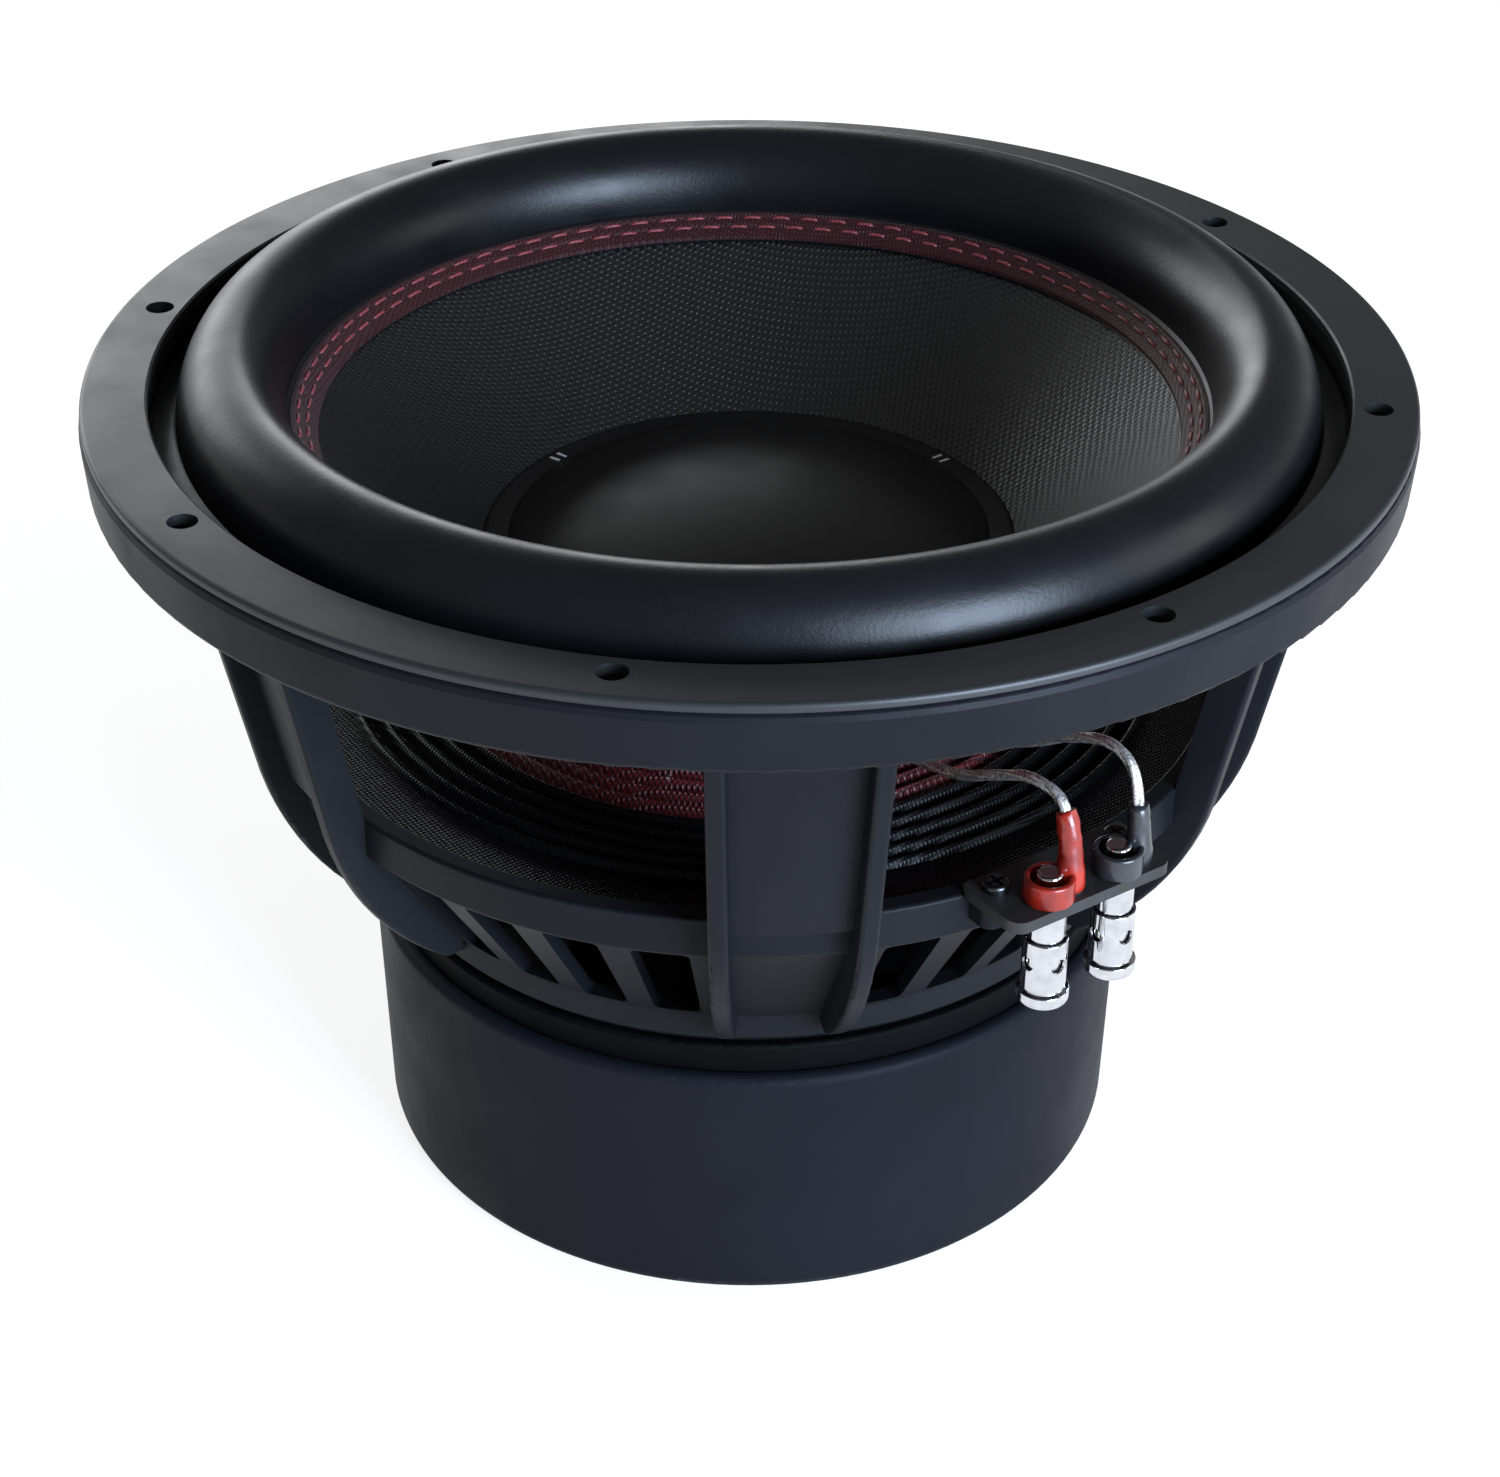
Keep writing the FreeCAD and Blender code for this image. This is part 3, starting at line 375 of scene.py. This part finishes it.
def mesh_object(name, vertices, faces, looks, indices=None, sharp=40.0):
    data = bpy.data.meshes.new(name)
    data.from_pydata([tuple(v) for v in vertices], [], faces)
    data.validate()
    made = bpy.data.objects.new(name, data)
    bpy.context.scene.collection.objects.link(made)
    dress(made, *looks)
    if indices is not None:
        data.polygons.foreach_set("material_index", indices)
    bm = bmesh.new()
    bm.from_mesh(data)
    bmesh.ops.recalc_face_normals(bm, faces=bm.faces)
    bm.to_mesh(data)
    bm.free()
    data.polygons.foreach_set("use_smooth", [True] * len(data.polygons))
    data.set_sharp_from_angle(angle=math.radians(sharp))
    data.update()
    return made


def lathe(name, profile, looks, steps=240, bands=None, sharp=40.0):
    """Turns a closed (r, z) profile in millimetres about Z. bands gives each profile edge's material."""
    count = len(profile)
    vertices, rows = [], []
    for r, z in profile:
        if r < 1e-6:
            rows.append([len(vertices)] * steps)
            vertices.append((0, 0, z * MM))
            continue
        rows.append(list(range(len(vertices), len(vertices) + steps)))
        for k in range(steps):
            a = 2 * math.pi * k / steps
            vertices.append((r * MM * math.cos(a), r * MM * math.sin(a), z * MM))
    faces, indices = [], []
    for i in range(count):
        j = (i + 1) % count
        if profile[i][0] < 1e-6 and profile[j][0] < 1e-6:
            continue
        for k in range(steps):
            n = (k + 1) % steps
            corners = [rows[i][k], rows[i][n], rows[j][n], rows[j][k]]
            faces.append([c for m, c in enumerate(corners) if c not in corners[:m]])
            indices.append(bands[i] if bands else 0)
    return mesh_object(name, vertices, faces, looks, indices, sharp)


def tube_rings(points):
    """Tangent, side and up at each point of a path, carried along with no twist."""
    points = [Vector(p) for p in points]
    frames, side = [], None
    for i, point in enumerate(points):
        ahead = points[min(i + 1, len(points) - 1)] - points[max(i - 1, 0)]
        ahead.normalize()
        if side is None:
            side = ahead.orthogonal().normalized()
        side = (side - ahead * side.dot(ahead)).normalized()
        frames.append((point, side.copy(), ahead.cross(side)))
    return frames


def tube(name, points, radius, looks, around=16, sharp=60.0):
    """A closed tube along points; radius(share, angle, distance) gives its surface."""
    frames = tube_rings(points)
    lengths = [0.0]
    for (a, _, _), (b, _, _) in zip(frames, frames[1:]):
        lengths.append(lengths[-1] + (b - a).length)
    vertices, faces = [], []
    for (p, side, up), s in zip(frames, lengths):
        for k in range(around):
            a = 2 * math.pi * k / around
            r = radius(s / lengths[-1], a, s)
            vertices.append(p + (side * math.cos(a) + up * math.sin(a)) * r)
    for i in range(len(frames) - 1):
        for k in range(around):
            n = (k + 1) % around
            faces.append([i * around + k, i * around + n, (i + 1) * around + n, (i + 1) * around + k])
    faces.append(list(range(around))[::-1])
    last = (len(frames) - 1) * around
    faces.append([last + k for k in range(around)])
    return mesh_object(name, vertices, faces, looks, sharp=sharp)


def spline_points(route, resolution=14):
    """Points read from the smooth curve whose control points are the route."""
    data = bpy.data.curves.new("route", "CURVE")
    data.dimensions = "3D"
    line = data.splines.new("NURBS")
    line.points.add(len(route) - 1)
    for point, place in zip(line.points, route):
        point.co = (*place, 1.0)
    line.order_u = 3
    line.use_endpoint_u = True
    line.resolution_u = resolution
    holder = bpy.data.objects.new("route", data)
    bpy.context.scene.collection.objects.link(holder)
    sampled = bpy.data.meshes.new_from_object(holder)
    points = [v.co.copy() for v in sampled.vertices]
    bpy.data.objects.remove(holder)
    bpy.data.meshes.remove(sampled)
    return points


def weigh(obj, share):
    """Works out how far each point would follow the moving body, from its place; the values are not stored.
    """
    values = np.array([share(v.co) for v in obj.data.vertices], np.float32)


# ---------------------------------------------------------------- dimensions shared with the CAD, in mm

SLOPE = math.atan2(0.833, 1.0)
NECK_R, NECK_Z, CONE_EDGE_R, CONE_T = 38.9, 141.8, 112.0, 1.4
SEAT_Z, LIP_T = 202.5, 1.5
ROLL_R, ROLL_W, ROLL_FOOT_Z, ROLL_H, SURROUND_T = 124.7, 12.9, 204.0, 18.8, 2.4
LIP_OUTER_R = 143.5
BAND_W, BAND_T = 8.8, 0.9
CAP_R, CAP_BAND_W, CAP_H, CAP_T = 66.4, 6.5, 14.0, 1.2


def on_cone(r, above=0.0):
    z = NECK_Z + (r - NECK_R) * math.tan(SLOPE)
    return r - above * math.sin(SLOPE), z + above * math.cos(SLOPE)


# ---------------------------------------------------------------- cone, band and cap


def make_cone():
    """The woven cone: black in front and dark red behind."""
    radii = np.linspace(NECK_R, CONE_EDGE_R, 60)
    front = [on_cone(r) for r in radii]
    behind = [on_cone(r, -CONE_T) for r in radii[::-1]]
    bands = [0] * 59 + [1] * 61
    piece = lathe("cone", front + behind, ["front", "back"], 360, bands)
    piece.name = "cone_paper"
    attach(piece, "cone")
    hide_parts("cone")


def make_band():
    """The red band, slightly crowned, with two rows of stitches sunk into it."""
    low_r = CONE_EDGE_R - BAND_W * math.cos(SLOPE) + 0.2
    high_r = CONE_EDGE_R - 0.3
    radii = np.linspace(low_r, high_r, 25)
    base = LIP_T - 0.5

    def crown(r):
        share = (r - low_r) / (high_r - low_r)
        edge = min(share, 1 - share) * 12
        groove = sum(0.35 * math.exp(-(((share - row) / 0.06) ** 2)) for row in STITCH_ROWS)
        return base + BAND_T * (0.35 + 0.65 * min(1.0, edge)) - groove

    top = [on_cone(r, crown(r)) for r in radii]
    under = [on_cone(r, base) for r in radii[::-1]]
    piece = lathe("edge_band_cloth", top + under, ["band"], 420)
    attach(piece, "cone")
    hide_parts("edge_band")

    vertices, faces = [], []
    for row in STITCH_ROWS:
        r = low_r + row * (high_r - low_r)
        for k in range(STITCH_COUNT):
            angle = 2 * math.pi * (k + (0.5 if row > 0.5 else 0.0)) / STITCH_COUNT
            add_stitch(vertices, faces, r, angle, base + 0.75)
    stitches = mesh_object("edge_stitches", vertices, faces, ["thread"], sharp=80.0)
    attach(stitches, "cone")


STITCH_COUNT = 88
STITCH_ROWS = (0.43, 0.77)
STITCH_LENGTH, STITCH_THICK = 5.2, 0.42


def add_stitch(vertices, faces, r, angle, height):
    """One stitch: a short thread that rises out of the cloth and dives back into it."""
    first = len(vertices)
    spans, around = 8, 8
    half = STITCH_LENGTH / 2 / r
    for i in range(spans + 1):
        t = i / spans * 2 - 1
        a = angle + t * half
        lift = height + 0.25 - 0.75 * t**4
        thick = STITCH_THICK * (1 - 0.35 * t**6)
        for k in range(around):
            b = 2 * math.pi * k / around
            rr, zz = on_cone(r + thick * math.cos(b) * math.cos(SLOPE), lift + thick * 0.8 * math.sin(b))
            vertices.append((rr * math.cos(a) * MM, rr * math.sin(a) * MM, zz * MM))
    for i in range(spans):
        for k in range(around):
            n = (k + 1) % around
            at = first + i * around
            faces.append([at + k, at + n, at + around + n, at + around + k])
    faces.append([first + k for k in range(around)][::-1])
    faces.append([first + spans * around + k for k in range(around)])


def dome_height(r):
    """The cap's upper surface at a radius, in mm."""
    edge_r = CAP_R - CAP_BAND_W
    band_z = on_cone(CAP_R)[1]
    rise = CAP_H - 0.6
    dome_r = (edge_r**2 + rise**2) / (2 * rise)
    if r >= edge_r:
        return band_z + 0.6
    return band_z + CAP_H - dome_r + math.sqrt(dome_r**2 - r**2)


def make_cap():
    """The dust cap: a shallow dome, a crease, and a flat band with a rolled edge."""
    edge_r = CAP_R - CAP_BAND_W
    band_z = on_cone(CAP_R)[1]
    dome = [(r, dome_height(r)) for r in np.linspace(0, edge_r, 34)]
    crease = [(edge_r + 0.25, band_z + 0.35), (edge_r + 0.8, band_z + 0.4)]
    rim = [(CAP_R - 1.6, band_z + 0.62), (CAP_R - 0.9, band_z + 0.6), (CAP_R - 0.4, band_z + 0.35)]
    rim += [on_cone(CAP_R - 0.3, 0.02), on_cone(CAP_R - 1.6, 0.02)]
    under = [(r, dome_height(r) - CAP_T) for r in np.linspace(edge_r - 0.5, 0, 20)]
    piece = lathe("dust_cap_shell", dome + crease + rim + under, ["cap"], 240, sharp=35.0)
    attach(piece, "cone")
    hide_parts("dust_cap")


def on_cap(u, v, lift=0.12):
    """A point on the cap from the view's right (u) and away (v), in mm."""
    c, s = math.cos(VIEW_AZIMUTH), math.sin(VIEW_AZIMUTH)
    x, y = u * c - v * s, u * s + v * c
    return Vector((x, y, dome_height(math.hypot(x, y)) + lift)) * MM


def printed(name, shapes, look):
    """Thin raised print on the cap: each shape is a (u, v) strip given by its two long edges."""
    vertices, faces = [], []
    for low, high in shapes:
        steps = 14
        for lift in (0.13, -0.05):
            for i in range(steps + 1):
                t = i / steps
                for edge in (low, high):
                    (u0, v0), (u1, v1), bow = edge
                    v = v0 + (v1 - v0) * t + bow * 4 * t * (1 - t)
                    vertices.append(on_cap(u0 + (u1 - u0) * t, v, lift))
        first = len(vertices) - 4 * (steps + 1)
        under = first + 2 * (steps + 1)
        for i in range(steps):
            a, b = first + 2 * i, under + 2 * i
            faces += [[a, a + 1, a + 3, a + 2], [b, b + 2, b + 3, b + 1]]
            faces += [[a, a + 2, b + 2, b], [a + 1, b + 1, b + 3, a + 3]]
        end, low_end = first + 2 * steps, under + 2 * steps
        faces += [[first, under, under + 1, first + 1], [end, end + 1, low_end + 1, low_end]]
    piece = mesh_object(name, vertices, faces, [look], sharp=30.0)
    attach(piece, "cone")


def make_print():
    """Two pairs of short silver ticks on the cap's band. The rest of the cap is plain."""
    ticks = []
    for sign in (-1, 1):
        for shift in (-1.0, 1.0):
            a = math.atan2(38.0, 50.0 * sign) + shift * 0.022
            inner, outer = CAP_R - 5.2, CAP_R - 2.2
            half = 0.006
            edges = []
            for turn in (a - half, a + half):
                c, s = math.cos(turn), math.sin(turn)
                edges.append(((inner * c, inner * s), (outer * c, outer * s), 0.0))
            ticks.append(tuple(edges))
    printed("cap_ticks", ticks, "silver_ink")


make_cone()
make_band()
make_cap()
make_print()

# ---------------------------------------------------------------- surround and spider


def make_surround():
    """The half roll with its flat outer lip and its sloping inner lip, whose inner edge lies along the cone.
    """
    angles = np.linspace(0, math.pi, 41)
    over = [(ROLL_R + ROLL_W * math.cos(a), ROLL_FOOT_Z + ROLL_H * math.sin(a)) for a in angles]
    inner_w, inner_h = ROLL_W - SURROUND_T, ROLL_H - SURROUND_T
    under = [(ROLL_R + inner_w * math.cos(a), ROLL_FOOT_Z + inner_h * math.sin(a)) for a in angles]
    low_r = CONE_EDGE_R - BAND_W * math.cos(SLOPE)
    outer_lip = [(under[0][0], SEAT_Z), (LIP_OUTER_R - 0.5, SEAT_Z), (LIP_OUTER_R, SEAT_Z + 0.5)]
    outer_lip += [(LIP_OUTER_R, SEAT_Z + LIP_T - 0.4), (LIP_OUTER_R - 0.5, SEAT_Z + LIP_T)]
    outer_lip += [(over[0][0] + 0.9, SEAT_Z + LIP_T), (over[0][0] + 0.2, SEAT_Z + LIP_T + 0.35)]
    inner_lip = [on_cone(CONE_EDGE_R + 0.6, LIP_T - 0.5), on_cone(low_r, LIP_T - 0.5)]
    inner_lip += [on_cone(low_r, 0.03), on_cone(CONE_EDGE_R, 0.03)]
    profile = over[1:] + inner_lip + under[::-1] + outer_lip
    piece = lathe("surround_roll", profile, ["roll"], 360, sharp=50.0)
    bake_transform(piece)
    outer_r, inner_r = ROLL_R + ROLL_W, ROLL_R - ROLL_W

    def share(p):
        t = (outer_r - math.hypot(p.x, p.y) / MM) / (outer_r - inner_r)
        return min(1.0, max(0.0, t))

    weigh(piece, share)
    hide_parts("surround")


SPIDER_SEAT_R, SPIDER_SEAT_Z, SPIDER_T = 117.0, 128.4, 0.9
SPIDER_OUTER_R, SPIDER_INNER_R, SPIDER_WAVES, SPIDER_WAVE_H = 103.0, 46.0, 11, 1.9
SPIDER_RED_R = 81.0
COLLAR_R = 38.22


def make_spider():
    """The corrugated disc, black outside and red inside, running from its seat to its collar at the coil."""
    middle = SPIDER_SEAT_Z + SPIDER_T / 2
    line = [(SPIDER_SEAT_R - 0.3, middle), (SPIDER_OUTER_R + 1.5, middle)]
    for i in range(12 * SPIDER_WAVES + 1):
        t = i / (12 * SPIDER_WAVES)
        r = SPIDER_OUTER_R + (SPIDER_INNER_R - SPIDER_OUTER_R) * t
        line.append((r, middle + 0.1 + SPIDER_WAVE_H * math.sin(2 * math.pi * SPIDER_WAVES * t)))
    line += [(SPIDER_INNER_R - 2.0, middle), (COLLAR_R, middle)]
    above = [(r, z + SPIDER_T / 2) for r, z in line]
    below = [(r, z - SPIDER_T / 2) for r, z in reversed(line)]
    bands = [1 if r < SPIDER_RED_R else 0 for r, _ in above + below]
    piece = lathe("spider_disc", above + below, ["spider", "spider_red"], 240, bands, sharp=60.0)
    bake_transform(piece)

    def share(p):
        t = (SPIDER_OUTER_R - math.hypot(p.x, p.y) / MM) / (SPIDER_OUTER_R - SPIDER_INNER_R + 2.0)
        return min(1.0, max(0.0, t))

    weigh(piece, share)
    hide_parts("spider")


GASKET_IN_R, GASKET_OUT_R, GASKET_LOW_Z, GASKET_TOP_Z = 143.8, 159.5, 209.5, 212.0
GASKET_EDGE_R = 1.2
BOLT_CIRCLE_R, BOLT_HOLE_R, BOLT_COUNT = 149.8, 3.5, 8


def make_gasket():
    """The flat rubber ring on the flange: finely turned, with its bolt holes cut through."""
    r = GASKET_EDGE_R
    angles = [math.radians(90 - 15 * i) for i in range(7)]
    corner = [(GASKET_OUT_R - r + r * math.cos(a), GASKET_TOP_Z - r + r * math.sin(a)) for a in angles]
    profile = [(GASKET_IN_R, GASKET_LOW_Z), (GASKET_IN_R, GASKET_TOP_Z - 0.5)]
    profile.append((GASKET_IN_R + 0.5, GASKET_TOP_Z))
    profile += corner + [(GASKET_OUT_R, GASKET_LOW_Z + 0.4), (GASKET_OUT_R - 0.4, GASKET_LOW_Z)]
    piece = lathe("gasket_ring", profile, ["gasket"], 720)
    vertices, faces, around = [], [], 48
    for k in range(BOLT_COUNT):
        turn, first = 2 * math.pi * k / BOLT_COUNT, len(vertices)
        for z in (GASKET_LOW_Z - 2.0, GASKET_TOP_Z + 2.0):
            for i in range(around):
                a = 2 * math.pi * i / around
                x = BOLT_CIRCLE_R * math.cos(turn) + BOLT_HOLE_R * math.cos(a)
                y = BOLT_CIRCLE_R * math.sin(turn) + BOLT_HOLE_R * math.sin(a)
                vertices.append((x * MM, y * MM, z * MM))
        top = first + around
        for i in range(around):
            n = (i + 1) % around
            faces.append([first + i, first + n, top + n, top + i])
        faces += [[first + i for i in range(around)][::-1], [top + i for i in range(around)]]
    cutter = mesh_object("hole_cutter", vertices, faces, ["gasket"])
    holes = piece.modifiers.new("holes", "BOOLEAN")
    holes.object, holes.operation, holes.solver = cutter, "DIFFERENCE", "EXACT"
    cut = bpy.data.meshes.new_from_object(piece.evaluated_get(bpy.context.evaluated_depsgraph_get()))
    piece.modifiers.clear()
    piece.data = cut
    cut.set_sharp_from_angle(angle=math.radians(40.0))
    bpy.data.objects.remove(cutter)
    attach(piece, "basket")
    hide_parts("mounting_gasket")


make_gasket()
make_surround()
make_spider()

# ---------------------------------------------------------------- leads and terminals

TERMINAL_X, TERMINAL_HALF_PITCH = 133.0, 9.95
LUG_Z, LUG_REACH, LEAD_END_R = 135.0, 6.0, 41.05
LEAD_R, SHRINK_R = 1.4, 2.8
LEAD_RISE = {"positive": 0.0, "negative": 3.0}
SHRINK_TOP_Z = {"positive": 154.0, "negative": 150.0}
POST_LOW_Z, FLOOR_Z = 112.4, 108.2


def lead_route(side, y, pole):
    lug_y = y + LUG_REACH
    rise = LEAD_RISE[pole]
    end_angle = math.asin(0.45 * lug_y / LEAD_END_R)
    points = [
        (TERMINAL_X, lug_y, LUG_Z),
        (TERMINAL_X, lug_y, LUG_Z + 12.0),
        (TERMINAL_X - 4.5, lug_y - 0.4, LUG_Z + 23.0 + rise),
        (TERMINAL_X - 18.0, lug_y - 1.0, LUG_Z + 21.0 + rise),
        (TERMINAL_X - 36.0, lug_y - 0.2, LUG_Z + 9.5 + rise),
        (TERMINAL_X - 55.0, 0.75 * lug_y, LUG_Z + 2.2),
        (TERMINAL_X - 76.0, 0.55 * lug_y, LUG_Z + 0.8),
        (LEAD_END_R * math.cos(end_angle), LEAD_END_R * math.sin(end_angle), LUG_Z + 0.4),
    ]
    return [Vector((side * x, yy, z)) * MM for x, yy, z in points]


def make_lead(side, side_name, sign, pole):
    """A twisted tinsel lead and the heat-shrink over its outer end."""
    name = side_name + "_" + pole
    points = spline_points(lead_route(side, sign * TERMINAL_HALF_PITCH, pole))
    length = sum((b - a).length for a, b in zip(points, points[1:]))

    def twisted(share, angle, distance):
        lobe = abs(math.cos(1.5 * angle - math.pi * distance / 0.018))
        return LEAD_R * MM * (0.62 + 0.38 * lobe)

    lead = tube("tinsel_" + name, points, twisted, ["tinsel"], 24, 80.0)
    crest = max(range(len(points)), key=lambda i: points[i].z)
    covered = [p for p in points[: crest + 1] if p.z <= SHRINK_TOP_Z[pole] * MM]

    def wrinkled(share, angle, distance):
        folds = 0.12 * math.sin(9 * share) + 0.08 * math.sin(31 * share + angle)
        folds += 0.07 * math.sin(3 * angle + 14 * share)
        return (SHRINK_R + 0.6 - 1.1 * share + folds) * MM

    look = "red_shrink" if pole == "positive" else "black_shrink"
    cover = tube("shrink_" + name, covered, wrinkled, [look], 24, 80.0)
    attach(cover, "basket")
    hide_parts("lead_shrink_" + name)
    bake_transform(lead)
    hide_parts("lead_" + name)
    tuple(points[0])


def make_spring(side, side_name, sign, pole):
    """The small coil spring that returns a terminal's sleeve."""
    turns, wire, coil_r = 3.5, 0.35, 2.9
    steps = 120
    x, y = side * TERMINAL_X, sign * TERMINAL_HALF_PITCH
    points = []
    for i in range(steps + 1):
        a = 2 * math.pi * turns * i / steps
        z = FLOOR_Z + wire + (POST_LOW_Z - FLOOR_Z - 2 * wire) * i / steps
        points.append(Vector((x + coil_r * math.cos(a), y + coil_r * math.sin(a), z)) * MM)
    name = side_name + "_" + pole
    piece = tube("spring_" + name, points, lambda s, a, d: wire * MM, ["screw"], 10, 80.0)
    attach(piece, "basket")
    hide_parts("terminal_spring_" + name)
    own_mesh(piece)


for side, side_name in SIDES:
    for sign, pole in POLES:
        make_lead(side, side_name, sign, pole)
        make_spring(side, side_name, sign, pole)

# ---------------------------------------------------------------- the CAD nodes that are kept

KEPT = {
    "basket": "coat",
    "magnet_boot": "boot",
    "coil_former": "former",
    "coil_winding": "copper",
    "coil_tabs": "tin",
    "t_yoke": "black_steel",
    "top_plate": "plate_black",
    "magnet_lower": "ferrite",
    "magnet_upper": "ferrite",
    "base_screws": "screw",
    "terminal_plate_screws": "screw",
    "terminal_plate_right": "board",
    "terminal_plate_left": "board",
    "solder_lugs": "tin",
    "stud_nuts": "satin",
}
for _, side_name in SIDES:
    for _, pole in POLES:
        name = side_name + "_" + pole
        KEPT["terminal_post_" + name] = "chrome"
        KEPT["terminal_sleeve_" + name] = "chrome"
        KEPT["stud_collar_" + name] = "red_shrink" if pole == "positive" else "black_shrink"
for node, look in KEPT.items():
    dress(nodes[node], look)

# ---------------------------------------------------------------- floor, light


def make_stage():
    look = Look("pale_floor", 0.9, Specular_IOR_Level=0.1, Emission_Strength=0.8, Emission_Color=(1, 1, 1, 1))
    look.colour(look.mix(look.spread(look.noise(3.0), 0.3, 0.7), (0.38, 0.38, 0.38), (0.4, 0.4, 0.4)))
    data = bpy.data.meshes.new("floor")
    size = 8.0
    corners = [(-size, -size, 0), (size, -size, 0), (size, size, 0), (-size, size, 0)]
    data.from_pydata(corners, [], [(0, 1, 2, 3)])
    floor = bpy.data.objects.new("floor", data)
    bpy.context.scene.collection.objects.link(floor)
    data.materials.append(look.material)
    floor.location.z = -0.0002

    world = bpy.data.worlds.new("studio")
    world.use_nodes = True
    background = world.node_tree.nodes["Background"]
    background.inputs["Color"].default_value = (1.0, 1.0, 1.0, 1)
    background.inputs["Strength"].default_value = 0.2
    bpy.context.scene.world = world


def light(name, azimuth, elevation, distance, size, power, colour=(1, 1, 1), aim=(0, 0, 0.15)):
    """A softbox placed by its direction from the object; azimuth 0 is the camera's side, + to its right."""
    data = bpy.data.lights.new(name, "AREA")
    data.shape = "RECTANGLE"
    data.size, data.size_y = size
    data.energy = power
    data.color = colour
    lamp = bpy.data.objects.new(name, data)
    bpy.context.scene.collection.objects.link(lamp)
    a, e = VIEW_AZIMUTH + math.radians(azimuth), math.radians(elevation)
    place = Vector((math.sin(a) * math.cos(e), -math.cos(a) * math.cos(e), math.sin(e))) * distance
    lamp.location = place + Vector(aim)
    lamp.rotation_mode = "QUATERNION"
    lamp.rotation_quaternion = place.to_track_quat("Z", "Y")


make_stage()
light("window_left_back", -152, 16, 1.7, (1.9, 0.75), 17, (0.95, 0.98, 1.0))
light("window_front_right", 38, 11, 1.5, (0.75, 0.8), 48, (0.62, 0.78, 1.0))
light("fill_right", 85, 12, 1.8, (0.8, 0.8), 4)
bpy.context.scene.view_settings.view_transform = "Standard"
